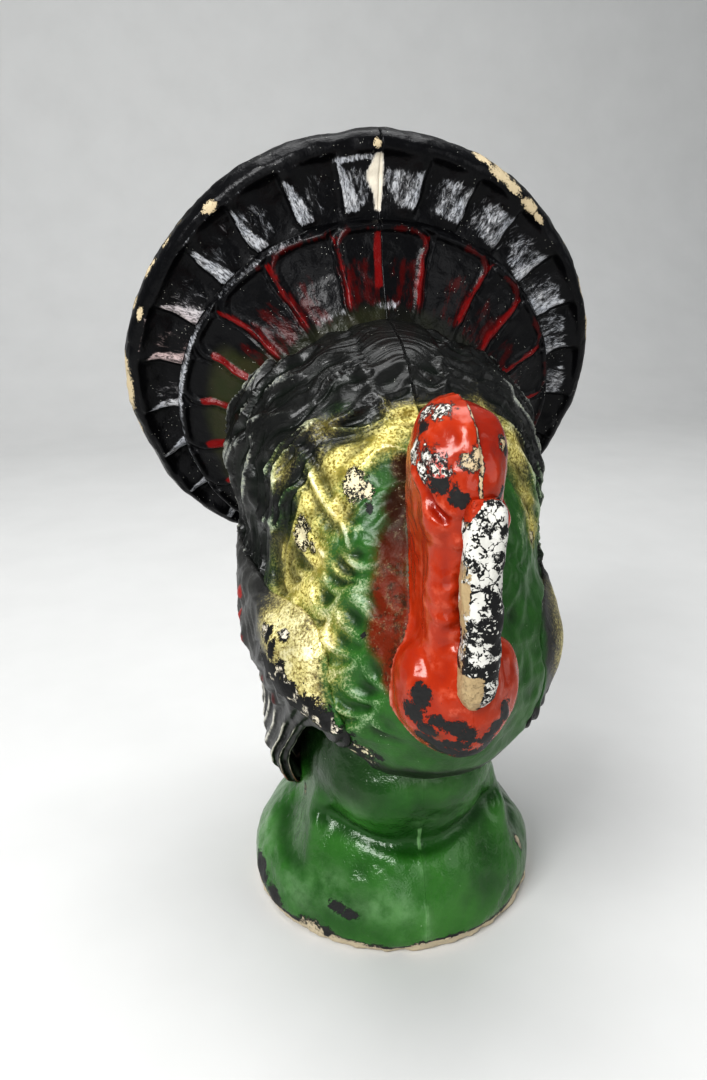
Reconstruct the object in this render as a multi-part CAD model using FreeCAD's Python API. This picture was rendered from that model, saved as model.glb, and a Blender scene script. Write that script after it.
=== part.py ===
"""Hollow papier-mache tom turkey on a moulded pedestal.

The figure is pressed from paper pulp in left and right castings that are glued on the median plane x = 0.
The castings are the pedestal, the body, the head with its neck and wattle, the wings and a two-tier tail fan.
A rolled-pulp snood, paper strips behind the seams and a card disc under the pedestal complete it.

Millimetres. +Z is up, the beak points to -Y, and the origin is the centre of the pedestal's underside.
"""

import FreeCAD, Part
import math
import os

V = FreeCAD.Vector

# Driving dimensions
TOTAL_HEIGHT = 300.0
FAN_RADIUS = 99.0
FAN_LEAN_DEG = 17.5  # the top of the fan leans towards the beak
FAN_CENTRE_Y = 56.0
FEATHER_PITCH_DEG = 15.0
FEATHERS_PER_SIDE = 9
WALL = 4.5  # pulp wall of the hollow castings
CARD = 3.0  # card disc under the pedestal
STRIP = 1.0  # thickness of the paper strips
STRIP_WIDTH = 22.0
GLUE_GAP = 0.05

FAN_CENTRE_Z = TOTAL_HEIGHT - FAN_RADIUS * math.cos(math.radians(FAN_LEAN_DEG)) - 0.3

# Horizontal ovals as (height, half width, front y, back y)
BODY_OVALS = [
    (79, 28, -62, 34),
    (85, 42, -76, 52),
    (96, 50, -90, 67),
    (114, 54, -98, 78),
    (135, 54, -93, 84),
    (157, 57, -78, 82),
    (178, 62, -64, 76),
    (197, 59, -50, 68),
    (212, 48, -36, 58),
    (222, 34, -22, 46),
    (228, 16, -4, 26),
]
BODY_SKEW = 12.0  # how far behind the middle each body oval is widest
PEDESTAL_OVALS = [
    (0, 58, -61, 58),
    (7, 60, -63, 60),
    (17, 58, -62, 58),
    (28, 51, -58, 52),
    (38, 42, -54, 45),
    (44, 39, -52, 42),
    (54, 40, -54, 42),
    (68, 38, -52, 40),
    (96, 36, -46, 36),
]
HEAD_OVALS = [
    (108, 8, -100, -60),
    (113, 15, -107, -60),
    (123, 20.5, -112, -60),
    (135, 17.5, -112, -60),
    (150, 12, -107, -60),
    (168, 11, -105, -58),
    (184, 13, -110, -60),
    (197, 14, -114, -64),
    (208, 12, -109, -70),
    (215, 7.5, -104, -78),
    (218, 3, -100, -86),
]
SNOOD_OVALS = [
    (131.5, 3.5, -115, -107),
    (137, 5.8, -117.5, -104),
    (150, 6.4, -119, -104),
    (168, 6.3, -119.5, -104),
    (183, 6.4, -119, -107),
    (191, 5, -117, -108),
    (194, 2.5, -115, -110),
]
SNOOD_OFFSET = V(1.2, 0, 0)  # the snood hangs a little to the bird's left

# Fan profiles as (radius, distance in front of the fan plane)
OUTER_FRONT = [(FAN_RADIUS + 1.5, 4.0), (95.0, 13.0), (84.0, 11.0), (73.0, 14.0), (0.0, 36.0)]
OUTER_BACK = [(0.0, -14.0), (35.0, -11.0), (70.0, -5.0), (FAN_RADIUS - 1.0, 0.0)]
INNER_RADIUS = 76.0
INNER_DROP = 5.0  # the inner tier is centred this much lower in the fan's plane
INNER_FRONT = [(INNER_RADIUS, 19.0), (62.0, 25.0), (44.0, 38.0), (34.0, 50.0)]
INNER_BACK = [(34.0, 28.5), (INNER_RADIUS, 12.0)]
FAN_BOTTOM_Z = 139.0  # both tiers are trimmed level here

# Wing skin: the shell between two ellipsoids, with a rounded shoulder on its front edge
WING_CENTRE = V(0, 0, 120)
WING_RADII = V(60, 110, 116)
WING_THICKNESS = 13.0
SHOULDER_CENTRE = V(38, -45, 121)
SHOULDER_RADII = V(17, 24, 22)
WING_OUTLINE = [  # (y, z) of the wing seen from the side
    (-62, 118), (-54, 131), (-38, 139), (-14, 143), (14, 147), (44, 144), (62, 126),
    (58, 98), (40, 64), (24, 44), (10, 37), (-2, 44), (-14, 62), (-34, 84), (-54, 102),
]


def oval_wire(height, half_width, front, back, inset=0.0, skew=0.0):
    """Closed spline oval in a horizontal plane, moved inwards by inset; skew sets its widest part back."""
    centre = (front + back) / 2
    depth = (back - front) / 2 - inset
    width = half_width - inset
    points = []
    for i in range(24):
        t = 2 * math.pi * i / 24
        across, along = math.cos(t), math.sin(t)
        points.append(V(width * across, centre + depth * along + skew * across**2, height))
    curve = Part.BSplineCurve()
    curve.interpolate(Points=points, PeriodicFlag=True)
    return Part.Wire([curve.toShape()])


def lofted(ovals, inset=0.0, skew=0.0):
    """Solid through horizontal ovals, each moved inwards by inset."""
    return Part.makeLoft([oval_wire(*oval, inset=inset, skew=skew) for oval in ovals], True, False)


def ellipsoid(centre, radii):
    ball = Part.makeSphere(1.0)
    matrix = FreeCAD.Matrix()
    matrix.scale(radii)
    matrix.move(centre)
    return ball.transformGeometry(matrix)


def half_space(side):
    """Big box on one side of the median plane: side -1 is the bird's right, +1 its left."""
    size = 400.0
    corner = V(GLUE_GAP / 2 if side > 0 else -size - GLUE_GAP / 2, -size / 2, -10)
    return Part.makeBox(size, size, size, corner)


def slab(width):
    """Box of the given width astride the median plane."""
    return Part.makeBox(width, 400, 400, V(-width / 2, -200, -10))


def fan_placement(drop=0.0):
    """Carries the fan's own frame, with +Z along its axis to the front and +Y up, to the figure."""
    lean = FreeCAD.Rotation(V(1, 0, 0), 90 + FAN_LEAN_DEG)
    centre = V(0, FAN_CENTRE_Y, FAN_CENTRE_Z) - lean.multVec(V(0, drop, 0))
    return FreeCAD.Placement(centre, lean)


def fan_tier(front, back, drop=0.0):
    """One tier turned round the fan's axis and trimmed level at the bottom."""
    outline = [V(r, 0, z) for r, z in back + front]
    face = Part.Face(Part.makePolygon(outline + outline[:1]))
    tier = face.revolve(V(0, 0, 0), V(0, 0, 1), 360)
    tier.Placement = fan_placement(drop)
    return tier.cut(Part.makeBox(400, 400, FAN_BOTTOM_Z, V(-200, -200, 0)))


def feather_grooves(start, end, radius, drop=0.0):
    """Rods laid along a tier's face between neighbouring feathers, whose cuts are round-bottomed grooves."""
    rods = []
    for side in (-1, 1):
        for i in range(FEATHERS_PER_SIDE):
            angle = math.radians(90 + side * FEATHER_PITCH_DEG * (i + 0.5))
            ends = [V(r * math.cos(angle), r * math.sin(angle), z) for r, z in (start, end)]
            rod = Part.makeCylinder(radius, (ends[1] - ends[0]).Length, ends[0], ends[1] - ends[0])
            rod.Placement = fan_placement(drop).multiply(rod.Placement)
            rods.append(rod)
    return rods


def wing_skin():
    """Both wings as one curved plate cut from a shell by the wing's side outline, plus the shoulders."""
    inner_radii = WING_RADII - V(WING_THICKNESS, WING_THICKNESS, WING_THICKNESS)
    shell = ellipsoid(WING_CENTRE, WING_RADII).cut(ellipsoid(WING_CENTRE, inner_radii))
    curve = Part.BSplineCurve()
    curve.interpolate(Points=[V(-100, y, z) for y, z in WING_OUTLINE], PeriodicFlag=True)
    outline = Part.Face(Part.Wire([curve.toShape()]))
    wings = shell.common(outline.extrude(V(200, 0, 0)))
    for side in (-1, 1):
        centre = V(side * SHOULDER_CENTRE.x, SHOULDER_CENTRE.y, SHOULDER_CENTRE.z)
        wings = wings.fuse(ellipsoid(centre, SHOULDER_RADII))
    return wings


def largest(shape):
    """The largest solid of a shape, so that slivers of a cut are dropped."""
    return max(shape.Solids, key=lambda s: s.Volume)


def export(name, shape):
    shape.exportStep(os.path.join("parts", name + ".step"))


def export_halves(name, shape):
    for side, suffix in ((-1, "right"), (1, "left")):
        export(name + "_" + suffix, largest(shape.common(half_space(side))))


def build_pedestal():
    outer = lofted(PEDESTAL_OVALS)
    hollow = lofted(PEDESTAL_OVALS, WALL)
    lining = lofted(PEDESTAL_OVALS, WALL + STRIP)
    disc_space = Part.makeBox(200, 200, CARD, V(-100, -100, 0))
    disc = lofted(PEDESTAL_OVALS, WALL + GLUE_GAP).common(disc_space)
    above_disc = Part.makeBox(200, 200, 76, V(-100, -100, CARD + 1))
    strips = hollow.cut(lining).common(slab(STRIP_WIDTH)).common(above_disc)
    shell = outer.cut(hollow).cut(strips)
    return outer, shell, disc, strips


def build_body(pedestal):
    outer = lofted(BODY_OVALS, 0.0, BODY_SKEW)
    hollow = lofted(BODY_OVALS, WALL, BODY_SKEW)
    lining = lofted(BODY_OVALS, WALL + STRIP, BODY_SKEW)
    shell = outer.cut(hollow).cut(pedestal)
    strip = hollow.cut(lining).common(slab(STRIP_WIDTH)).cut(pedestal)
    return outer, shell, strip


def main():
    os.makedirs("parts", exist_ok=True)
    pedestal, pedestal_shell, base_disc, pedestal_strips = build_pedestal()
    body, body_shell, body_strip = build_body(pedestal)
    snood = lofted(SNOOD_OVALS).translated(SNOOD_OFFSET)
    head = lofted(HEAD_OVALS).cut(body).cut(snood)
    wings = wing_skin().cut(body).cut(pedestal)
    outer_fan = fan_tier(OUTER_FRONT, OUTER_BACK).cut(body).cut(wings)
    inner_fan = fan_tier(INNER_FRONT, INNER_BACK, INNER_DROP).cut(body).cut(outer_fan).cut(wings)
    outer_fan = outer_fan.cut(feather_grooves((70.0, 13.6), (94.0, 11.2), 1.6))
    inner_fan = inner_fan.cut(feather_grooves((46.0, 36.0), (INNER_RADIUS + 1, 18.6), 1.6, INNER_DROP))

    export_halves("pedestal_shell", pedestal_shell)
    export_halves("body_shell", body_shell)
    export_halves("head", head)
    export_halves("wing", wings)
    export_halves("tail_outer", outer_fan)
    export_halves("tail_inner", inner_fan)
    export("snood", largest(snood))
    export("base_disc", largest(base_disc))
    export("body_seam_strip", body_strip)
    export("pedestal_seam_strips", pedestal_strips)


main()
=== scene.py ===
# Painted papier-mache tom turkey: pulp castings meshed from distance fields and swept profiles, then painted
# with node materials. Shape code works in millimetres in the row frame: +Z up, beak to -Y, bird's left +X.

import itertools
import math

import bmesh
import bpy
import numpy as np
import openvdb as vdb
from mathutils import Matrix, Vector


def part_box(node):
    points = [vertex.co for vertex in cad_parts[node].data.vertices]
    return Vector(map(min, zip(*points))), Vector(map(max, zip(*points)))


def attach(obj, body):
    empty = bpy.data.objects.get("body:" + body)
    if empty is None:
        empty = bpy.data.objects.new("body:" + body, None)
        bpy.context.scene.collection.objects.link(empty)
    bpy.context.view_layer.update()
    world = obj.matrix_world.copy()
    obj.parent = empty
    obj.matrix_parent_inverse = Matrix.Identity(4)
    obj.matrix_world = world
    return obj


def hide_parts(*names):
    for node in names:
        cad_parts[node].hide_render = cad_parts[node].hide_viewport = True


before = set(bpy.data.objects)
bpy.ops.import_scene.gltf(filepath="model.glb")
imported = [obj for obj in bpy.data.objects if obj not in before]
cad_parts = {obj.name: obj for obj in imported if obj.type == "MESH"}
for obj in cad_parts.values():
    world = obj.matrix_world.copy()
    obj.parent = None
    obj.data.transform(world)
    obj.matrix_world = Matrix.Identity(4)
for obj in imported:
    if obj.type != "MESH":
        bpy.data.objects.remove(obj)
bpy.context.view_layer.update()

MM = 0.001
STEP = 1.0  # field cell of the body, wings and pedestal
FINE = 0.75  # field cell of the head
FAN_COUNT, FAN_SPACING = ((300, 0.85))  # radial lines of the fan, and mm along them
SNOOD_RINGS, SNOOD_AROUND = ((120, 96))
WALL = 4.5  # of the hollow body and pedestal
SEAM = 0.02  # half of the glue line between left and right castings
SIDES = ((-1, "right"), (1, "left"))


# ---------------------------------------------------------------- noise and small maths

def lattice(ix, iy, iz, seed):
    """Repeatable random numbers from -1 to 1 at whole-number points."""
    h = (ix * 374761393 + iy * 668265263 + iz * 1274126177 + seed * 2246822519) & 0xFFFFFFFF
    h = ((h ^ (h >> 13)) * 1274126177) & 0xFFFFFFFF
    h = ((h ^ (h >> 16)) * 2654435761) & 0xFFFFFFFF
    return (h >> 8) / float(1 << 23) - 1.0


def noise(p, size, seed=0):
    """Smooth noise from -1 to 1 with lumps of the given size."""
    q = p / size
    base = np.floor(q).astype(np.int64)
    t = q - base
    t = t * t * t * (t * (t * 6 - 15) + 10)
    total = np.zeros(len(p))
    weights = (1 - t, t)
    for i, j, k in itertools.product((0, 1), repeat=3):
        corner = lattice(*(base + (i, j, k)).T, seed)
        total += weights[i][:, 0] * weights[j][:, 1] * weights[k][:, 2] * corner
    return total


def fbm(p, size, seed=0, octaves=3):
    """Noise with finer and weaker lumps added to it."""
    total = np.zeros(len(p))
    for k in range(octaves):
        total += noise(p, size / 2**k, seed + 17 * k) / 2**k
    return total / 1.75


def ramp(x, lo, hi):
    """Smooth 0 to 1 between lo and hi."""
    t = np.clip((x - lo) / (hi - lo), 0.0, 1.0)
    return t * t * (3 - 2 * t)


def window(x, lo0, lo1, hi0, hi1):
    """Rises smoothly between the first two numbers and falls between the last two."""
    return ramp(x, lo0, lo1) * (1 - ramp(x, hi0, hi1))


def bell(x, width):
    """1 at x = 0, falling off over about the width to both sides."""
    return np.exp(-((x / width) ** 2))


def blob(p, centre, radii):
    """1 at the centre, falling smoothly to 0 a little past the radii."""
    d = (p - np.array(centre)) / np.array(radii)
    return np.exp(-1.4 * (d * d).sum(1))


def blobs(p, rows):
    """Soft union of blobs given as (x, y, z, rx, ry, rz)."""
    keep = np.ones(len(p))
    for row in rows:
        keep *= 1 - np.clip(blob(p, row[:3], row[3:6]), 0, 1)
    return 1 - keep


def chip_field(p, rows):
    """Greatest of 1 - distance/radius over patches given as (x, y, z, rx, ry, rz); below 0 is outside."""
    field = np.full(len(p), -1.0)
    for row in rows:
        d = (p - np.array(row[:3])) / np.array(row[3:6])
        field = np.maximum(field, 1 - np.sqrt((d * d).sum(1)))
    return field


def smooth_min(a, b, k):
    """The lesser of two fields, blended where they differ by less than k."""
    h = np.clip(0.5 + 0.5 * (b - a) / k, 0, 1)
    return b + (a - b) * h - k * h * (1 - h)


def smooth_max(a, b, k):
    return -smooth_min(-a, -b, k)


# ---------------------------------------------------------------- solids as distance fields

# Horizontal ovals as (height, half width, front y, back y), close to those of the CAD solids
BODY = [(79, 28, -62, 34), (85, 42, -76, 52), (96, 50, -90, 67), (114, 54, -98, 78), (135, 54, -93, 84),
        (157, 57, -78, 82), (178, 62, -64, 76), (197, 59, -50, 68), (212, 48, -36, 58), (222, 34, -22, 46),
        (228, 16, -4, 26)]
BODY_SKEW = 12.0
PEDESTAL = [(0, 58, -61, 58), (7, 60, -63, 60), (17, 58, -62, 58), (28, 51, -58, 52), (38, 42, -53, 45),
            (44, 39, -51, 42), (54, 39, -53, 42), (68, 38, -52, 40), (96, 36, -46, 36)]
HEAD = [(108, 8, -100, -60), (113, 15, -107, -60), (123, 20.5, -111, -60), (135, 17.5, -110, -60),
        (150, 11.5, -105, -60), (168, 10.5, -103, -58), (184, 13, -109, -60), (197, 14, -113, -64),
        (206, 13, -110, -67), (212, 11.3, -107, -72), (216.5, 8.2, -103, -78)]
HEAD_JOIN = 3.5  # softness of the crease between head and body
HEAD_LUMPS = [  # on both sides or not, centre, radii, softness of the join
    (False, (-9.5, -98, 203), (4.0, 8, 6.5), 4.5),  # right brow
    (False, (7.0, -97, 208), (5.0, 8, 6.5), 4.0),  # left brow
    (True, (7.8, -98, 185), (5.5, 7, 6), 3.0),  # cheeks
    (True, (13.0, -92, 131), (6.5, 11, 13), 2.0),  # lobes of the wattle
    (True, (6.6, -97, 162), (4.6, 7, 26), 3.0)]  # sides of the neck
WING_CENTRE = (0, 0, 120)
WING_RADII = (60, 110, 116)
WING_THICKNESS = 12.0
WING_PRESS = 4.4  # how much further in the bird's left wing is pressed
WING_OUTLINE = [(-62, 118), (-54, 131), (-38, 139), (-14, 143), (14, 147), (44, 144), (62, 126),
                (58, 98), (40, 64), (24, 44), (10, 37), (-2, 44), (-14, 62), (-34, 84), (-54, 102)]

GOLD_SPRAY = [  # x, y, z and radii of the sprayed gold patches
    (-2, -44, 204, 13, 9, 8), (-14, -47, 198, 13, 9, 8), (-24, -47, 192, 10, 9, 9),
    (-31, -45, 188, 9, 9, 9), (-30, -54, 177, 8, 8, 10), (-38, -45, 177, 8, 8, 11),
    (-41, -45, 165, 8, 9, 10), (-46, -36, 157, 8, 10, 8), (-37, -53, 160, 7, 8, 9),
    (-45, -40, 147, 9, 12, 9), (-40, -52, 148, 9, 10, 8), (-49, -50, 134, 12, 16, 11),
    (-45, -61, 127, 12, 14, 12), (-42, -66, 116, 9, 12, 9), (-39, -65, 108, 5, 8, 5),
    (-36, -64, 137, 7, 9, 8), (25, -38, 203, 14, 9, 9), (36, -40, 190, 9, 9, 12),
    (39, -46, 176, 8, 9, 11), (42, -47, 163, 7, 9, 9), (50, -46, 130, 10, 17, 14),
    (46, -58, 122, 9, 14, 12)]
GOLD_DUST = [(-35, -70, 126, 8, 9, 13), (-33, -66, 142, 8, 9, 10), (-31, -72, 112, 7, 8, 7),
             (-30, -60, 158, 8, 9, 10), (-46, -31, 186, 8, 8, 10), (-32, -36, 200, 12, 8, 7)]
QUILL = [(-40.5, -32.2, 191.2), (-37.1, -40.2, 185.6), (-34.0, -48.2, 178.9), (-30.0, -54.3, 173.8),
         (-27.3, -58.8, 169.8), (-27.6, -61.4, 164.1)]
WING_KNOBS = [(59, -11, 134), (59, -12, 125.5), (57.5, -16.5, 118), (54.5, -24, 112.5), (52.5, -31.5, 107.5),
              (50.5, -38.5, 103)]


def line_distance(p, points):
    """Distance from every p to a chain of points."""
    nearest = np.full(len(p), 1e9)
    for a, b in zip(np.array(points[:-1], float), np.array(points[1:], float)):
        share = np.clip((p - a) @ (b - a) / ((b - a) @ (b - a)), 0, 1)
        nearest = np.minimum(nearest, np.linalg.norm(p - a - share[:, None] * (b - a), axis=1))
    return nearest


def sections(rows, z, open_ends=False):
    """Centre, shape ratio and squared mean radius of the ovals at heights z, rounded off at closed ends."""
    table = np.array(rows, float)
    height, width = table[:, 0], table[:, 1]
    centre = (table[:, 2] + table[:, 3]) / 2
    depth = (table[:, 3] - table[:, 2]) / 2
    ratio, radius2 = depth / width, depth * width
    if open_ends:
        height = np.concatenate([[height[0] - 40], height, [height[-1] + 40]])
        centre, ratio, radius2 = (np.concatenate([[v[0]], v, [v[-1]]]) for v in (centre, ratio, radius2))
    else:
        slope = radius2[[0, -1]] / (3.0, 2.5)
        height = np.concatenate([[height[0] - 13], [height[0] - 3], height, [height[-1] + 2.5],
                                 [height[-1] + 12.5]])
        centre, ratio = (np.concatenate([[v[0]] * 2, v, [v[-1]] * 2]) for v in (centre, ratio))
        radius2 = np.concatenate([[-10 * slope[0]], [0], radius2, [0], [-10 * slope[1]]])
    fine = np.arange(height[0], height[-1], 0.5)
    kernel = np.exp(-0.5 * (np.arange(-12, 13) / 4.5) ** 2)
    kernel /= kernel.sum()
    out = []
    for values in (centre, ratio, radius2):
        line = np.interp(fine, height, values)
        line = np.convolve(np.pad(line, 12, mode="edge"), kernel, mode="valid")
        out.append((np.interp(z, fine, line), np.interp(z, fine, np.gradient(line, fine))))
    return out


def oval_loft(x, y, z, rows, skew=0.0, open_ends=False):
    """First-order distance to a loft through ovals; negative inside."""
    (c, cz), (q, qz), (r2, r2z) = sections(rows, z, open_ends)
    width2 = np.maximum(r2 / q, 30.0)
    share = np.minimum(x * x / width2, 1.3)
    y1 = y - c - skew * share
    value = x * x * q + y1 * y1 / q - r2
    gx = 2 * x * q - 4 * y1 / q * skew * x / width2
    gy = 2 * y1 / q
    gz = x * x * qz - y1 * y1 * qz / q**2 - 2 * y1 / q * cz - r2z
    return value / np.maximum(np.sqrt(gx * gx + gy * gy + gz * gz), 8.0)


def ellipsoid(x, y, z, centre, radii):
    """First-order distance to an ellipsoid; negative inside."""
    a, b, c = radii
    u, v, w = (x - centre[0]) / a, (y - centre[1]) / b, (z - centre[2]) / c
    value = np.sqrt(u * u + v * v + w * w)
    slope = np.sqrt((u / a) ** 2 + (v / b) ** 2 + (w / c) ** 2)
    return value * (value - 1) / np.maximum(slope, 1e-4)


def closed_curve(points, count=160):
    """Smooth closed curve through points, as Catmull-Rom pieces."""
    p = np.array(points, float)
    per = count // len(p)
    t = np.linspace(0, 1, per, endpoint=False)[:, None]
    out = []
    for i in range(len(p)):
        a, b, c, d = (p[(i + k - 1) % len(p)] for k in range(4))
        out.append(0.5 * (2 * b + (c - a) * t + (2 * a - 5 * b + 4 * c - d) * t**2
                          + (3 * b - a - 3 * c + d) * t**3))
    return np.concatenate(out)


def outline_distance(y, z, points):
    """Signed distance in the side view to a closed outline; negative inside."""
    curve = closed_curve(points)
    following = np.roll(curve, -1, axis=0)
    shape = np.broadcast(y, z).shape
    yy, zz = np.broadcast_to(y, shape).ravel(), np.broadcast_to(z, shape).ravel()
    best = np.full(yy.shape, 1e9)
    inside = np.zeros(yy.shape, bool)
    for (ay, az), (by, bz) in zip(curve, following):
        dy, dz = by - ay, bz - az
        t = np.clip(((yy - ay) * dy + (zz - az) * dz) / (dy * dy + dz * dz + 1e-9), 0, 1)
        best = np.minimum(best, (yy - ay - t * dy) ** 2 + (zz - az - t * dz) ** 2)
        if az != bz:
            crosses = ((az > zz) != (bz > zz)) & (yy < (by - ay) * (zz - az) / (bz - az) + ay)
            inside ^= crosses
    distance = np.sqrt(best)
    return np.where(inside, -distance, distance).reshape(shape)


def lower_corner(x, y, z):
    """Slanting plane that trims the bird's right lower corner of the breast; above 0 is cut away."""
    plane = 37.5 - 0.758 * x - 0.26 * (y + 60) - 0.652 * z
    return plane - 45.0 * ramp(y, -38, -12) - 60.0 * ramp(x, -24, 0)


def body_field(x, y, z):
    """Skewed ovals with the bird's right lower corner trimmed off."""
    return smooth_max(oval_loft(x, y, z, BODY, BODY_SKEW), lower_corner(x, y, z), 5.0)


def wing_depth(x, y, z):
    """Distance below the wings' outer face, which is pressed in a little more on the bird's left."""
    side = np.abs(x) + WING_PRESS * ramp(x, 0, 20) + 5.0 * ramp(-z, -121, -101) - 5.0 * ramp(-z, -86, -60)
    return -ellipsoid(side, y, z, WING_CENTRE, WING_RADII)


def wing_field(x, y, z):
    """Both wings: a curved plate with rounded edges, and a full shoulder that tapers down and forwards."""
    outline = outline_distance(y, z, WING_OUTLINE)
    left = ramp(x, 0, 20)
    flat = np.abs(x) + WING_PRESS * left
    depth = wing_depth(x, y, z)
    thickness = WING_THICKNESS - 4.5 * ramp(-z, -104, -90) * ramp(-y, -20, 0)
    plate = smooth_max(smooth_max(-depth, outline, 4.0), depth - thickness, 3.0)
    shoulder = ellipsoid(flat, y, z, (38.5, -46, 124), (17, 23, 18.5))
    taper = ellipsoid(flat + 5.0 * left, y, z, (36, -60, 107), (12, 17, 13))
    shoulder = smooth_max(smooth_min(shoulder, taper, 9.0), lower_corner(x, y, z), 4.0)
    return smooth_min(plate, shoulder, 7.0)


def blend_width(z):
    """Softness of the crease between wing and body: wide at the shoulder, tight at the primaries."""
    return 2.5 + 8.5 * ramp(z, 92, 110)


def head_field(x, y, z):
    """Neck and face on a pear-shaped wattle, with its lumps blended in."""
    x = x + 1.3 * ramp(x, 2, 14) * bell(z - 194, 10)  # the bird's left cheek is flatter
    head = oval_loft(x, y, z, HEAD)
    for mirrored, centre, radii, softness in HEAD_LUMPS:
        lump = ellipsoid(np.abs(x) if mirrored else x, y, z, centre, radii)
        head = smooth_min(head, lump, softness)
    return head


def pedestal_field(x, y, z):
    """Round foot under a column whose front is a rounded pilaster between two upright folds."""
    s = oval_loft(x, y, z, PEDESTAL, open_ends=True)
    s = smooth_min(s, ellipsoid(x, y, z, (0, -22, 62), (35, 34, 21)), 5.0)
    fold = ellipsoid(np.abs(x) + 0.25 * (z - 36), y, z, (38.5, -24, 36), (4.5, 10, 17))
    return np.maximum(smooth_min(s, fold, 7.0), z - 96)


def grid(lo, hi, step):
    """Open coordinate arrays of a regular grid."""
    axes = [np.arange(a, b + step, step, dtype=np.float64) for a, b in zip(lo, hi)]
    return np.ix_(*axes)


def field_mesh(field, lo, step):
    """Vertices in mm and quads of the field's zero surface."""
    band = 3 * step
    volume = vdb.FloatGrid(band)
    volume.copyFromArray(np.ascontiguousarray(np.clip(field, -band, band), dtype=np.float32))
    points, quads = volume.convertToQuads()
    return np.asarray(points, float) * step + np.array(lo, float), np.asarray(quads, int)


def add_object(name, data):
    """Object in the scene with the given mesh, light or camera."""
    obj = bpy.data.objects.new(name, data)
    bpy.context.scene.collection.objects.link(obj)
    return obj


def face_outwards(bm):
    """Turns all faces of a closed mesh outwards."""
    bmesh.ops.recalc_face_normals(bm, faces=bm.faces)
    if bm.calc_volume(signed=True) < 0:
        bmesh.ops.reverse_faces(bm, faces=bm.faces)


def new_mesh(name, vertices, faces):
    """Mesh object from mm vertices, with outward normals and smooth shading."""
    mesh = bpy.data.meshes.new(name)
    mesh.from_pydata((np.asarray(vertices) * MM).tolist(), [], [list(map(int, f)) for f in faces])
    bm = bmesh.new()
    bm.from_mesh(mesh)
    face_outwards(bm)
    bm.to_mesh(mesh)
    bm.free()
    mesh.shade_smooth()
    return add_object(name, mesh)


def vectors_of(items, key):
    """Positions or normals of a mesh's vertices as an array."""
    values = np.empty(len(items) * 3, np.float32)
    items.foreach_get(key, values)
    return values.reshape(-1, 3).astype(float)


def points_of(obj):
    """Vertices in mm."""
    return vectors_of(obj.data.vertices, "co") / MM


def push_out(obj, p, height, scale=(1, 1, 1)):
    """Moves the points along their scaled normals by a height in mm."""
    p = p + vectors_of(obj.data.vertex_normals, "vector") * scale * height[:, None]
    obj.data.vertices.foreach_set("co", (p * MM).astype(np.float32).ravel())
    obj.data.update()
    return p


def set_values(obj, **layers):
    """Stores one number per vertex under each name, for the materials."""
    for name, values in layers.items():
        layer = obj.data.attributes.get(name) or obj.data.attributes.new(name, "FLOAT", "POINT")
        layer.data.foreach_set("value", np.asarray(values, np.float32))


def set_vectors(obj, name, values):
    """Stores a vector in mm per vertex as an attribute in metres."""
    layer = obj.data.attributes.new(name, "FLOAT_VECTOR", "POINT")
    layer.data.foreach_set("vector", (values * MM).astype(np.float32).ravel())


def split_halves(obj, name):
    """Cuts a casting on the median plane into name_right and name_left, closing both cut faces."""
    halves = []
    for side, suffix in SIDES:
        bm = bmesh.new()
        bm.from_mesh(obj.data)
        geom = bm.verts[:] + bm.edges[:] + bm.faces[:]
        cut = bmesh.ops.bisect_plane(bm, geom=geom, dist=1e-7, plane_co=(side * SEAM * MM, 0, 0),
                                     plane_no=(side, 0, 0), clear_inner=True)
        rim = [e for e in cut["geom_cut"] if isinstance(e, bmesh.types.BMEdge) and e.is_boundary]
        filled = bmesh.ops.triangle_fill(bm, edges=rim, use_beauty=True, normal=(-side, 0, 0))
        caps = [g for g in filled["geom"] if isinstance(g, bmesh.types.BMFace)]
        face_outwards(bm)
        for flat_part in caps + rim:
            flat_part.smooth = False
        mesh = bpy.data.meshes.new(f"{name}_{suffix}")
        bm.to_mesh(mesh)
        bm.free()
        halves.append(add_object(f"{name}_{suffix}_skin", mesh))
    bpy.data.objects.remove(obj)
    return halves


# ---------------------------------------------------------------- moulded relief

def feather_cells(u, v, width, length):
    """Staggered rows of U-shaped feather tips: 0 to 1 height of their bowls and of their raised rims."""
    bowl = np.zeros(len(u))
    rim = np.zeros(len(u))
    for shift in (0.0, 0.5):
        row = np.floor(v / length + shift)
        along = (v / length + shift - row - 0.4) * length
        across = ((u / width + 0.5 * (row % 2) + 0.5 * shift) % 1.0 - 0.5) * width
        d = np.sqrt(across**2 + along**2) / (0.5 * width)
        below = ramp(along, -0.35 * width, 0.1 * width)
        rim = np.maximum(rim, bell(d - 0.80, 0.24) * below)
        bowl = np.maximum(bowl, ramp(1 - d, 0.0, 0.5) * below)
    return bowl, rim


def feather_flow(p):
    """Directions for the plumage: distance out from the breast, along the strand, and the side."""
    x, y, z = p.T
    reach = np.sqrt(x**2 + (y + 64) ** 2 + (z - 158) ** 2)
    reach = reach + 5.0 * noise(p, 19, 3) + 2.2 * noise(p, 8, 4)
    turn = np.degrees(np.arctan2(np.abs(x), z - 158)) + 14 * noise(p, 26, 5)
    return np.stack([reach, turn * 0.24, np.sign(x) * 40], 1)


def strands(p):
    """Long wavy feathers that wrap round the breast: a ridge height from 0 to 1."""
    lines = feather_flow(p)
    strand = 1 - np.abs(noise(lines, 6.4, 8)) * 2.4
    crossed = 1 - np.abs(noise(lines + (lines[:, 1:2] / 3), 8.5, 18)) * 2.4
    thin = 1 - np.abs(noise(lines * (1, 0.6, 1), 2.9, 11)) * 2.2
    return np.clip(0.5 * np.maximum(strand, crossed) + 0.2 * strand + 0.35 * thin, -0.2, 1.05)


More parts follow.
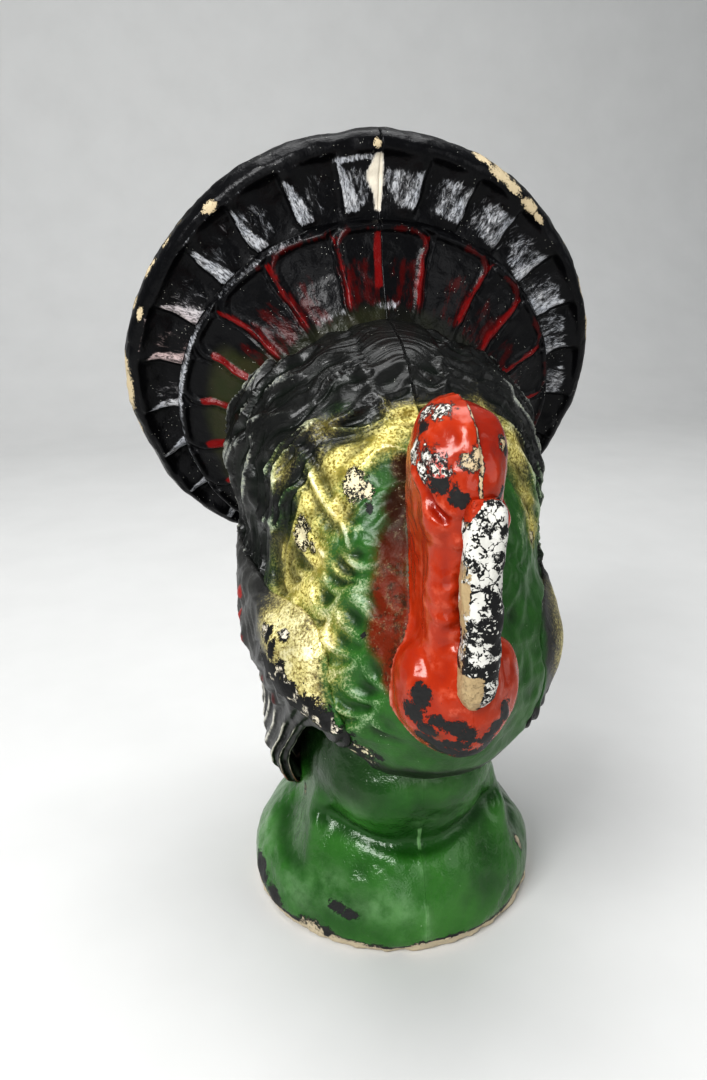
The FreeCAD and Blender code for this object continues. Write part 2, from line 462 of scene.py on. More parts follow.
def plumage_colours(p):
    """Airbrushed gold, green and brown-red cover over the black ground, shared by the body and the wings."""
    _, y, z = p.T
    gold = np.maximum(blobs(p, GOLD_SPRAY), 0.55 * blobs(p, GOLD_DUST))
    green = ramp(-y - 5 * ramp(z, 160, 200) + 7 * noise(p, 17, 37), 12, 52) * (1 - ramp(z, 203, 217))
    green = np.maximum(green, 0.5 * blobs(p, [(-24, -30, 205, 20, 12, 10), (-46, -28, 186, 12, 10, 16)]))
    brown = blobs(p, [(-8, -54, 190, 6, 8, 8), (-11, -61, 179, 8, 9, 9), (-14, -68, 167, 9, 10, 10),
                      (-17, -74, 155, 9, 10, 10), (-20, -80, 142, 8, 10, 10), (-18, -88, 131, 6, 9, 8),
                      (-15, -82, 150, 8, 10, 12), (-17, -90, 137, 6, 9, 8)])
    return gold, green, brown


def lower_rim(p):
    """Chip value of the worn black band along the lower corner of the breast and the shoulder."""
    x, y, z = p.T
    corner = lower_corner(x, y, z)
    band = bell(corner + 1.0, 3.6) * ramp(-y, 38, 48) * ramp(-x, 8, 22)
    ragged = 0.35 * noise(p, 5, 62) + 0.30 * noise(p, 2.2, 64)
    return np.where(band > 0.05, 0.85 * band - 0.40 + ragged, -1.0)


def plumage_relief(p):
    """Relief of the body in mm and a 0 to 1 crest value for high spots, painted lighter as worn paint and as
    painted highlight.
    """
    x, y, z = p.T
    ridge = strands(p)
    back = np.clip(ramp(y, -48, -30) + ramp(z, 192, 208), 0, 1)
    upper = (1 - back) * ramp(z, 140, 172) * (1 - ramp(-y, 66, 80))
    # feather tips on the breast
    around = np.arctan2(np.abs(x), -(y - 10)) * 62 + 4.0 * noise(p, 17, 21)
    bowl, rim = feather_cells(around, -z + 4.0 * noise(p, 15, 22), 14.5, 12.0)
    breast = window(z, 88, 104, 160, 176) * (1 - ramp(y, -50, -36)) * (1 - ramp(-y, 84, 94))
    breast *= np.where(x > 0, 0.25, 1.0) * ramp(noise(p, 20, 23), -0.6, 0.2)
    height = back * 3.4 * (ridge - 0.5) + upper * 1.6 * (ridge - 0.5)
    height += breast * (1.3 * rim - 1.4 * bowl) + 0.7 * noise(p, 11, 30) + 0.3 * noise(p, 4, 31)
    crest = back * ramp(ridge, 0.55, 0.95) + upper * 0.85 * ramp(ridge, 0.65, 1.0)
    crest += breast * (0.66 * ramp(rim, 0.10, 0.95) + 0.10 * noise(p, 5, 36))
    # one long raised quill running down the bird's right breast
    gap = line_distance(p + 1.6 * noise(p, 9, 33)[:, None], QUILL)
    quill = bell(gap, 1.3) * ramp(noise(p, 7, 34), -1.0, -0.1)
    height += 1.4 * quill - 0.7 * bell(gap - 3.4, 1.6)
    # the crown of the back stays above the paper strip behind its seam
    height = np.maximum(height, -3 + 4.2 * ramp(z, 214, 224) * (1 - ramp(np.abs(x), 12, 20)))
    return height, np.clip(np.maximum(crest, quill), 0, 1)


# ---------------------------------------------------------------- body, wings, head and pedestal

def solid_pieces():
    """Meshes the four moulded solids from shared fields and returns them by name."""
    lo, hi = (-66, -124, 70), (66, 92, 236)
    x, y, z = grid(lo, hi, STEP)
    body = body_field(x, y, z)
    wing = wing_field(x, y, z)
    head = head_field(x, y, z)
    skin = smooth_min(smooth_min(body, wing, blend_width(z)), head, HEAD_JOIN)
    # the body's skin ends a little below the surface where the head's or the wings' own skin takes over
    near = np.minimum(np.maximum(head, -body), np.maximum(wing, -body))
    beyond = (body - near) / 2
    skin = np.maximum(skin + 1.5 * ramp(beyond, -0.2, 0.8), beyond - 1.2)
    shell = np.maximum(np.maximum(skin, -(body + WALL)), (body - pedestal_field(x, y, z)) / 2)
    pieces = {"body_shell": field_mesh(shell, lo, STEP)}

    lo, hi = (-66, -80, 28), (66, 70, 156)
    x, y, z = grid(lo, hi, STEP)
    wing = wing_field(x, y, z)
    body = body_field(x, y, z)
    skin = smooth_min(body, wing, blend_width(z))
    shell = np.maximum(np.maximum(skin, (np.maximum(wing, -body) - body) / 2), -pedestal_field(x, y, z))
    pieces["wing"] = field_mesh(shell, lo, STEP)

    lo, hi = (-30, -122, 100), (30, -50, 224)
    x, y, z = grid(lo, hi, FINE)
    body = body_field(x, y, z)
    head = head_field(x, y, z)
    shell = np.maximum(smooth_min(body, head, HEAD_JOIN), (np.maximum(head, -body) - body) / 2)
    pieces["head"] = field_mesh(shell, lo, FINE)

    lo, hi = (-68, -70, -6), (68, 68, 100)
    x, y, z = grid(lo, hi, STEP)
    pedestal = pedestal_field(x, y, z)
    shell = np.maximum(np.maximum(pedestal, -(pedestal + WALL)), -z)
    pieces["pedestal_shell"] = field_mesh(shell, lo, STEP)
    return pieces


# ---------------------------------------------------------------- materials

class Value:
    """A shader socket that is added, subtracted and multiplied like a number."""

    def __init__(self, paint, socket):
        self.paint = paint
        self.socket = socket

    def __add__(self, other):
        return self.paint.math("ADD", self, other)

    def __sub__(self, other):
        return self.paint.math("SUBTRACT", self, other)

    def __rsub__(self, other):
        return self.paint.math("SUBTRACT", other, self)

    def __mul__(self, other):
        return self.paint.math("MULTIPLY", self, other)

    def __abs__(self):
        return self.paint.math("ABSOLUTE", self)

    def maximum(self, other):
        return self.paint.math("MAXIMUM", self, other)

    def above(self, limit):
        return self.paint.math("GREATER_THAN", self, limit)

    def below(self, limit):
        return self.paint.math("LESS_THAN", self, limit)

    def step(self, lo, hi):
        """Smooth 0 to 1 between lo and hi."""
        inputs = {"Value": self, "From Min": lo, "From Max": hi, "To Min": 0.0, "To Max": 1.0}
        return self.paint.node("MapRange", inputs, interpolation_type="SMOOTHSTEP")


class Paint:
    """A node material under construction: its colour so far, its roughness and its normal."""

    def __init__(self, name):
        self.material = bpy.data.materials.new(name)
        self.material.use_nodes = True
        self.tree = self.material.node_tree
        self.tree.nodes.clear()
        self.output = self.tree.nodes.new("ShaderNodeOutputMaterial")
        self.coords = self.node("TexCoord", output="Object")
        self.color = self.rough = self.normal = None

    def put(self, socket, value):
        """Links a value to a socket or sets a constant; one number for a colour is a grey."""
        if isinstance(value, Value):
            self.tree.links.new(value.socket, socket)
        elif socket.type == "RGBA":
            socket.default_value = (*value, 1.0) if isinstance(value, tuple) else (value, value, value, 1.0)
        else:
            socket.default_value = value

    def node(self, kind, inputs=(), output=0, **settings):
        made = self.tree.nodes.new("ShaderNode" + kind)
        for key, value in settings.items():
            setattr(made, key, value)
        for key, value in dict(inputs).items():
            self.put(made.inputs[key], value)
        return Value(self, made.outputs[output])

    def value(self, name):
        """A number stored on the vertices."""
        return self.node("Attribute", output="Fac", attribute_name=name)

    def vector(self, name):
        return self.node("Attribute", output="Vector", attribute_name=name)

    def math(self, operation, a, b=0.0):
        return self.node("Math", {0: a, 1: b}, operation=operation)

    def mix(self, factor, a, b):
        """Colour a where the factor is 0 and b where it is 1."""
        return self.node("Mix", {"Factor": factor, 6: a, 7: b}, 2, data_type="RGBA", blend_type="MIX")

    def coat(self, cover, color):
        """Lays a colour over the paint so far where the cover is 1."""
        self.color = self.mix(cover, self.color, color)

    def scaled(self, vector, scale):
        return self.node("Mapping", {"Vector": vector, "Scale": scale})

    def noise(self, size_mm, detail=3.0, rough=0.55, vector=None, distortion=0.0, output="Fac"):
        """Noise around 0.5 with lumps of the given size in mm."""
        inputs = {"Vector": vector or self.coords, "Scale": 1000.0 / size_mm, "Detail": detail,
                  "Roughness": rough, "Distortion": distortion}
        return self.node("TexNoise", inputs, output)

    def bent(self, size_mm, amount_mm):
        """Coordinates with small random offsets that bend the edges of a pattern."""
        wobble = self.noise(size_mm, rough=0.5, output="Color")
        centred = self.node("VectorMath", {0: wobble, 1: (0.5, 0.5, 0.5)}, operation="SUBTRACT")
        offset = self.node("VectorMath", {0: centred, "Scale": amount_mm * 2 * MM}, operation="SCALE")
        return self.node("VectorMath", {0: self.coords, 1: offset}, operation="ADD")

    def cells(self, size_mm, feature="F1", vector=None):
        inputs = {"Vector": vector or self.coords, "Scale": 1000.0 / size_mm}
        return self.node("TexVoronoi", inputs, "Distance", feature=feature)

    def bump(self, height, distance_mm, strength):
        """Adds a relief to the normal."""
        inputs = {"Height": height, "Distance": distance_mm * MM, "Strength": strength}
        if self.normal is not None:
            inputs["Normal"] = self.normal
        self.normal = self.node("Bump", inputs)

    def finish(self, metallic, coat, specular):
        inputs = {"Base Color": self.color, "Roughness": self.rough, "Metallic": metallic,
                  "Normal": self.normal, "Coat Weight": coat, "Coat Roughness": 0.12,
                  "Specular IOR Level": specular, "Coat Normal": self.normal}
        shader = self.node("BsdfPrincipled", inputs)
        self.tree.links.new(shader.socket, self.output.inputs[0])
        return self.material


BLACK = (0.012, 0.012, 0.012)
OLD_WHITE = (0.80, 0.78, 0.72)


def enamel(m, rough, strength):
    """Sets the gloss and adds the fine ripples and pulp grain of old brushed enamel."""
    m.rough = rough
    m.bump(m.noise(5.0) + m.noise(0.9, 2.0) * 0.35, 0.5, strength)


def hollows(m, lo, hi):
    """1 where the stored relief is lower than lo, 0 above hi: where the paints lay painted shade in the
    hollows.
    """
    return 1.0 - m.value("height").step(lo, hi)


def chipped(m, core_color, crust=0.30, ragged=1.0):
    """Adds chips where the 'chip' value is high: black ground at the edges and bare pulp or white inside."""
    chip = m.value("chip")
    fine = m.noise(1.1, 4.0, 0.8) - 0.5
    level = chip + (m.noise(2.6, 8.0, 0.80) - 0.5) * (ragged * 2.6) + fine * (ragged * 1.3)
    ground = level.step(0.02, 0.06) * chip.above(-0.55)
    core = (level + fine * 2.4).step(crust, crust + 0.06) * m.value("core").step(0.25, 0.6) * ground
    m.coat(ground, m.mix(m.noise(1.2), 0.006, 0.026))
    m.coat(core, m.mix(m.noise(1.0) * 0.35, core_color, (0.3, 0.25, 0.18)))
    m.rough = m.mix(ground, m.rough, 0.62)
    m.bump((ground + core) * -1.0, 0.35, 0.8)


def specks(m, size=1.6, amount=0.07, tint=(0.7, 0.7, 0.62)):
    """Scattered specks of dirt and pinholes."""
    m.coat(m.cells(size).below(amount) * m.noise(9.0, 2.0).above(0.56), tint)


def plumage_paint():
    """Black ground, green and gold airbrush, crests lightened by dry-brush and painted highlight, painted
    shade in the hollows and under the belly, and chips.
    """
    m = Paint("plumage_paint")
    spatter = m.noise(0.8, 3.0, 0.8) - 0.5
    cloud = m.noise(8.0) - 0.5
    hair = m.noise(3.6, 2.0, 0.5, m.scaled(m.vector("flow"), (1.0, 0.32, 1.0)), 0.4)
    hair = (1.0 - abs(hair - 0.5) * 6.0).maximum(-0.6) * m.value("fur")
    crest = m.value("crest") + hair * 0.14
    m.color = m.mix(m.noise(6.0, 4.0), 0.005, (0.020, 0.021, 0.019))
    fade = m.value("green") + cloud * 0.6 + (crest - 0.3) * 0.45
    green = (fade + spatter * 0.6).step(0.22, 1.05)
    m.coat(green, m.mix(m.noise(7.0), (0.012, 0.070, 0.010), (0.048, 0.165, 0.028)))
    brown = (m.value("brown") + (spatter + cloud) * 0.45).step(0.25, 0.8)
    browns = m.mix(m.value("low"), (0.030, 0.011, 0.005), (0.15, 0.026, 0.010))
    browns = m.mix(m.noise(4.0, 6.0, 0.7).step(0.46, 0.66), browns, (0.045, 0.020, 0.010))
    m.coat(brown, browns)
    dusty = m.noise(1.4, 5.0, 0.8).step(0.53, 0.62) * cloud.step(-0.05, 0.12)
    m.coat(dusty * (brown * 0.5), (0.22, 0.19, 0.12))
    gold = (m.value("gold") + spatter * 1.2 + cloud * 0.45 + (crest - 0.3) * 0.30).step(0.12, 1.0)
    golds = m.mix(m.noise(0.9, 2.0).step(0.34, 0.58), (0.26, 0.205, 0.048), (0.74, 0.66, 0.27))
    golds = m.mix(m.noise(6.0, 2.0).step(0.45, 0.70), golds, (0.30, 0.25, 0.06))
    m.coat(gold, golds)
    # the high spots are painted lighter, as rubbed paint and as painted highlight: pale gold over gold,
    # grey-white over black
    rub = (crest + spatter * 1.5 + cloud * 0.8).step(0.45, 1.15) * (1.0 - brown * 0.9)
    light = m.mix(gold, (0.25, 0.26, 0.25), (0.86, 0.80, 0.50))
    light = m.mix(green * (1.0 - gold), light, (0.38, 0.49, 0.31))
    m.coat(rub, light)
    # painted shade in the hollows of the relief
    m.coat(hollows(m, -1.6, -0.2) * 0.65, (0.004, 0.008, 0.004))
    # the underside of the belly darkened: partly black airbrush, partly painted shade
    m.coat(m.value("dark") * 0.85, (0.010, 0.012, 0.009))
    specks(m)
    enamel(m, m.mix(gold, 0.32, 0.42), 0.55)
    m.bump(hair, 0.2, 0.9)
    chipped(m, m.mix(m.noise(3.0), (0.70, 0.62, 0.40), (0.80, 0.76, 0.55)))
    return m.finish(gold * 0.25, 0.0, 0.42 - brown.maximum(gold) * 0.34)


def red_paint():
    """Glossy orange-red enamel with painted shade in the folds and painted highlights on raised spots,
    chipped to black, white and raw pulp.
    """
    m = Paint("red_paint")
    m.color = m.mix(m.noise(10.0), (0.33, 0.028, 0.004), (0.44, 0.048, 0.008))
    # painted shade in the folds
    m.coat(hollows(m, -1.0, 0.3) * 0.7, (0.22, 0.012, 0.004))
    # painted highlights: pale pink patches on the raised spots
    raised_sheen = m.noise(3.5, 5.0).step(0.46, 0.64) * m.value("height").step(-0.2, 0.7)
    m.coat(raised_sheen * 0.40, (0.74, 0.22, 0.14))
    # painted highlight: pale pink patches low on the wattle's bird's-right side
    m.coat(m.value("pale") * m.noise(3.0, 4.0).step(0.35, 0.65), (0.62, 0.30, 0.24))
    m.coat(m.value("over").step(0.2, 0.9), (0.13, 0.035, 0.010))
    specks(m, 1.8, 0.06, 0.02)
    core = m.mix(m.value("tan"), OLD_WHITE, (0.58, 0.46, 0.29))
    core = m.mix(m.noise(2.2, 2.0).step(0.52, 0.56) * m.value("pink"), core, (0.62, 0.10, 0.09))
    enamel(m, 0.25, 0.3)
    chipped(m, core, 0.36)
    return m.finish(0.0, 0.30, 0.34)


def green_paint():
    """Glossy mid-green enamel over black ground and raw pulp."""
    m = Paint("green_paint")
    m.color = m.mix(m.noise(20.0, 4.0).step(0.3, 0.7), (0.018, 0.105, 0.010), (0.050, 0.175, 0.030))
    # painted shade in the hollows
    m.coat(hollows(m, -1.5, 0.5) * 0.75, (0.008, 0.050, 0.006))
    # paler on these patches and on the high spots: scuffed paint and painted highlight
    worn = m.value("rub") * 0.9 + m.value("height").step(0.4, 1.6)
    m.coat(m.noise(7.0, 5.0, 0.6).step(0.20, 0.75) * worn * 0.65, (0.19, 0.34, 0.16))
    # a paler line along the raised seam: painted highlight
    line = m.value("seam") + (m.noise(3.0) - 0.5) * 0.8
    m.coat(line.step(0.50, 1.0), (0.16, 0.30, 0.13))
    # painted shade under the belly
    m.coat(m.value("shade") * 0.85, (0.006, 0.026, 0.005))
    specks(m, 2.2, 0.05)
    enamel(m, 0.25, 0.8)
    chipped(m, (0.58, 0.50, 0.36), 0.35, 0.9)
    return m.finish(0.0, 0.22, 0.40)


def snood_paint():
    """White paint crazed and flaked to the black ground, raw pulp along the bird's right edge and the tip."""
    m = Paint("snood_paint")
    bent = m.bent(2.6, 2.2)
    flake = (m.noise(5.2, 7.0, 0.74) - 0.5) * 2.6 - (m.value("bare") - 0.40)
    crack_width = m.noise(4.0, 4.0, 0.7) * 0.62 - 0.27
    solid = flake.step(-0.01, 0.02) * m.cells(3.4, "DISTANCE_TO_EDGE", bent).above(crack_width)
    solid = solid.maximum(m.cells(1.7, vector=bent).below(0.30) * m.noise(4.0).above(0.52))
    whites = m.mix(m.noise(4.0), (0.76, 0.75, 0.71), (0.52, 0.51, 0.46))
    m.color = m.mix(solid, m.mix(m.noise(1.5), (0.005, 0.005, 0.006), 0.022), whites)
    tan = (m.value("tan") + (m.noise(2.4, 6.0, 0.75) - 0.5) * 1.7).step(0.46, 0.50)
    m.coat(tan, m.mix(m.noise(1.5, 4.0), (0.55, 0.43, 0.25), (0.33, 0.24, 0.14)))
    red = m.value("red") + (m.noise(2.6, 5.0, 0.7) - 0.5) * 1.6
    m.coat(red.step(0.5, 0.54), (0.38, 0.036, 0.006))
    enamel(m, m.mix(solid, 0.5, 0.4), 0.4)
    m.bump(solid - tan * 0.4, 0.4, 0.9)
    return m.finish(0.0, 0.04, 0.3)


def fan_paint(name, inner):
    """Black enamel; white dry-brush on the outer tier, red strokes and green airbrush on the inner one."""
    m = Paint(name)
    brush = m.scaled(m.vector("fan_uv"), (1.0, 0.34, 1.0))
    streak = m.noise(1.9, 6.0, 0.80, brush, 0.9) - 0.5
    patch = m.noise(5.0, 4.0, 0.6, m.scaled(m.vector("fan_uv"), (1.0, 0.5, 1.0))) - 0.5
    m.color = m.mix(m.noise(5.0, 4.0), (0.002, 0.002, 0.003), (0.008, 0.008, 0.009))
    if inner:
        mist = (m.value("green") + (m.noise(7.0) - 0.5) * 0.5).step(0.15, 0.95)
        m.coat(mist, m.mix(m.noise(9.0), (0.020, 0.034, 0.010), (0.050, 0.040, 0.020)))
        red = m.value("red") + streak * 1.1 + patch * 1.9
        reds = m.mix(m.value("bright"), (0.060, 0.002, 0.002), (0.17, 0.005, 0.005))
        m.coat(red.step(0.40, 0.85), reds)
    white = m.value("white") + streak * 1.5 + patch * 0.5
    tint = m.mix(m.noise(6.0), (0.62, 0.61, 0.60), (0.42, 0.45, 0.50))
    tint = m.mix(m.value("pink"), tint, (0.64, 0.50, 0.48))
    tint = m.mix(m.value("cream"), tint, (0.80, 0.74, 0.62))
    grain = m.noise(0.9, 4.0, 0.75, brush, 0.8).step(0.38, 0.60)
    dry = (grain * 0.82 + 0.18).maximum(m.value("cream"))
    m.coat(white.step(0.50, 0.85) * dry, tint)
    specks(m, 1.3, 0.10)
    enamel(m, 0.30, 0.7)
    chipped(m, (0.62, 0.52, 0.35), 0.05, 0.6)
    return m.finish(0.0, 0.05, 0.22)


def wing_paint():
    """Gold shoulder, charcoal coverts with red tips, black primaries edged with white."""
    m = Paint("wing_paint")
    spatter = m.noise(0.9, 3.0, 0.8) - 0.5
    cloud = m.noise(8.0) - 0.5
    m.color = m.mix(m.noise(5.0, 4.0), 0.014, (0.085, 0.085, 0.080))
    green = (m.value("green") + cloud * 0.6).step(0.3, 0.8)
    m.coat(green, m.mix(m.noise(7.0), (0.012, 0.075, 0.012), (0.040, 0.15, 0.028)))
    gold = (m.value("gold") + spatter * 1.1 + cloud * 0.5).step(0.22, 0.92)
    golds = m.mix(m.noise(1.0, 2.0).step(0.34, 0.56), (0.26, 0.20, 0.05), (0.70, 0.62, 0.27))
    m.coat(gold, golds)
    # the crests of the coverts are painted lighter: partly worn paint, partly painted highlight
    light = m.mix(gold, (0.24, 0.24, 0.23), (0.84, 0.78, 0.48))
    m.coat((m.value("crest") + spatter).step(0.65, 1.1), light)
    top = m.value("gold") * 0.75 + (cloud + spatter)
    m.coat(top.step(0.45, 0.9) * 0.9, (0.88, 0.83, 0.54))
    m.coat((m.value("red") + spatter * 0.5).step(0.35, 0.6), (0.30, 0.020, 0.016))
    m.coat(m.value("dark") * 0.8, 0.008)
    # every blade has a thin pale edge, worn away in places
    share = m.math("FRACT", m.value("lane"))
    off_edge = abs(share - (cloud * 0.12 + 0.30))
    edge = 1.0 - (off_edge + spatter * 0.16).step(0.05, 0.11)
    edge = edge * m.noise(7.0).step(0.30, 0.48) * m.value("blade")
    m.coat(edge, m.mix(m.value("tip"), (0.60, 0.58, 0.50), (0.46, 0.22, 0.18)))
    # painted shade in the hollows
    m.coat(hollows(m, -1.0, 0.1) * 0.6, BLACK)
    specks(m, 2.2, 0.12, 0.02)
    blade = (share.step(0.05, 0.30) - share.step(0.30, 1.0) * 0.85) * m.value("blade")
    enamel(m, m.mix(gold, 0.34, 0.42), 0.6)
    m.bump(blade, 1.2, 0.9)
    chipped(m, m.mix(m.noise(3.0), (0.70, 0.62, 0.44), OLD_WHITE))
    return m.finish(gold * 0.30, 0.05, 0.28)


def paper_material(name, light, dark, size):
    """Bare fibrous paper or card with short fibres and stains."""
    m = Paint(name)
    fibre = m.noise(size, 5.0, 0.7, m.scaled(m.coords, (1.0, 0.25, 1.0)))
    m.color = m.mix(fibre.step(0.35, 0.7), dark, light)
    m.coat(m.noise(22.0).step(0.52, 0.7), tuple(0.8 * c for c in dark))
    specks(m, 2.5, 0.08, tuple(0.45 * c for c in dark))
    m.rough = 0.85
    m.bump(fibre + m.noise(0.5, 2.0) * 0.4, 0.3, 0.7)
    return m.finish(0.0, 0.0, 0.25)


# ---------------------------------------------------------------- relief and paint of each casting

def dress(obj, material, node):
    """Gives a piece its material, ties it to the body and hides the CAD node it stands for."""
    obj.data.materials.clear()
    obj.data.materials.append(material)
    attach(obj, "root")
    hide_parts(node)


def opened(p, open_chips, rim, least):
    """How far each chip is worn through to the pulp: fully in the open ones, in spots along the rim."""
    core = least + (1 - least) * ramp(chip_field(p, open_chips), -0.4, 0.1)
    return np.maximum(core, 0.7 * ramp(noise(p, 2.6, 63), 0.22, 0.50) * (rim > 0.0))


def dress_halves(obj, name, material):
    """Splits a casting and dresses its halves as the CAD's right and left nodes."""
    for half, (_, suffix) in zip(split_halves(obj, name), SIDES):
        dress(half, material, f"{name}_{suffix}")


def make_body(data):
    """Breast, flanks and back, moulded with feathers under airbrushed paint."""
    obj = new_mesh("body_casting", *data)
    p = points_of(obj)
    outside = body_field(*p.T) > -WALL / 2
    height, crest = plumage_relief(p)
    gold, green, brown = plumage_colours(p)
    near_head = ramp(head_field(*p.T), 0.3, 5)
    near_wing = ramp(wing_field(*p.T), 0.0, 3)
    flow = feather_flow(p)
    height = np.where(outside, height * near_head * near_wing * (1 - 0.85 * brown), 0)
    p = push_out(obj, p, height)
    x, y, z = p.T
    # darker at the bottom of the belly: partly black airbrush on the underside, partly painted shade where
    # the belly overhangs the pedestal
    under = ramp(-z + 1.5 * noise(p, 9, 35), -98, -92) * ramp(-np.abs(x), -46, -34)
    open_chips = [(-24, -52, 184.5, 3.8, 4.8, 6.6), (-20.5, -55, 182.5, 2.8, 3, 3.6),
                  (-40.5, -44.5, 166, 3.2, 4.2, 6.4), (-37, -49, 163, 2.2, 2.4, 2.8),
                  (41, -47, 160, 2, 3, 2.5)]
    marks = [(-20, -58, 177, 1.2, 1.5, 2.6), (-33, -57, 148, 1.2, 1.5, 2), (-26, -76, 141, 1, 1, 1.4),
             (-30, -71, 104, 3.5, 3, 2.5), (-22, -80, 99, 2.5, 3, 1.6), (44, -60, 118, 1, 2, 2.5)]
    rim = lower_rim(p)
    chip = np.maximum(chip_field(p, open_chips + marks), np.where(outside, rim, -1))
    core = opened(p, open_chips, rim, 0.12)
    fur = np.clip(ramp(y, -48, -26) + ramp(z, 188, 206), 0, 1) * (1 - brown) * outside * near_head
    calm = np.maximum(ramp(z, 196, 210) * ramp(-np.abs(x), -46, -32), ramp(y, 25, 45))
    crest = crest * outside * (1 - 0.8 * calm)
    set_values(obj, green=green * (1 - 0.85 * under), gold=gold, brown=brown, crest=crest, fur=fur,
               chip=chip, core=core, height=height, low=ramp(-z, -182, -150), dark=under)
    set_vectors(obj, "flow", flow)
    dress_halves(obj, "body_shell", plumage_paint())


def wing_relief(p):
    """Relief in mm of the wings, with masks for crests, red tips, blades and the dark lower part."""
    x, y, z = p.T
    wobble = 1.3 * noise(p, 15, 41)
    behind_edge = (y + 54) * 0.712 + (z - 102) * 0.702
    # primaries: long blades side by side, parallel to the wing's front lower edge and wrapping round it
    lane = behind_edge / 7.5 - wing_depth(x, y, z) / 3.2 + 0.10 * noise(p, 14, 43)
    share = lane - np.floor(lane)
    blades = ramp(share, 0.0, 0.3) * (1 - 0.85 * ramp(share, 0.3, 1.0))
    low = ramp(-(z + 0.10 * y) + 1.5 * noise(p, 10, 45), -104, -97)
    low = np.maximum(low, ramp(lower_corner(x, y, z - 14 * ramp(y, -56, -40)), 1.0, 3.0) * (x < 0))
    primaries = low * (1 - ramp(y, 34, 46))
    bowl, rim = feather_cells(y * 0.9 + 0.3 * z + 3 * wobble, -z + 0.45 * y + 2 * wobble, 17.0, 15.0)
    coverts = (1 - low) * ramp(y, -42, -30) * np.where(x > 0, 0.4, 1.0)
    height = coverts * (0.8 * rim - 0.5 * bowl) + primaries * 1.6 * (blades - 0.45) + 0.25 * fbm(p, 7, 44)
    crest = coverts * ramp(rim, 0.5, 0.95) * 0.7
    blade = primaries * ramp(-z, -98, -90)
    red = np.zeros(len(p))
    side = np.stack([np.abs(x), y, z], 1)
    for knob in WING_KNOBS:
        d = ((side - np.array(knob)) ** 2).sum(1)
        bump = np.exp(-d / 9.0)
        red = np.maximum(red, bump)
        height += 2.0 * bump
    return height, crest, red, lane, blade, low


def make_wings(data):
    """Both wings with gold shoulders and long blades at their tips."""
    obj = new_mesh("wing_casting", *data)
    p = points_of(obj)
    x, y, z = p.T
    height, crest, red, lane, blade, low = wing_relief(p)
    gold, green, _ = plumage_colours(p)
    calm = 1 - 0.85 * gold * (1 - low)
    outside = ramp(ellipsoid(np.abs(x), y, z, WING_CENTRE, WING_RADII), -14.0, -9.0)
    near_body = ramp(body_field(*p.T), 0.3, 3.5)
    height = height * calm * outside * near_body + 0.6 * noise(p, 9, 47) * near_body
    p = push_out(obj, p, height)
    rim = np.where(low > 0.5, -1.0, lower_rim(p))
    green = green * ramp(-np.abs(x), -44, -36) * 0.8
    open_chips = [(-54.5, -47, 133, 1.8, 2.6, 3.4), (-49.0, -57, 136, 1.8, 2.2, 1.6)]
    marks = [(-49, -57, 135, 3.4, 2.6, 2.2), (-54.2, -51, 134, 2.2, 2.4, 5.0),
             (-53.5, -55.5, 129.5, 2.0, 2.4, 4.0), (-51.5, -61.9, 125.7, 1.8, 2.4, 3.6),
             (-48.2, -65.6, 119, 2.2, 2.8, 3.4)]
    chip = np.maximum(chip_field(p, open_chips + marks), rim)
    core = opened(p, open_chips, rim, 0.15)
    gold = gold * (1 - 0.95 * low) * (1 - 0.22 * ramp(x, 0, 20))
    set_values(obj, green=green * (1 - low), gold=gold, crest=crest * outside, red=red, chip=chip,
               core=core, lane=lane, blade=blade * outside, dark=low, height=height, tip=ramp(-z, -62, -44))
    dress_halves(obj, "wing", wing_paint())


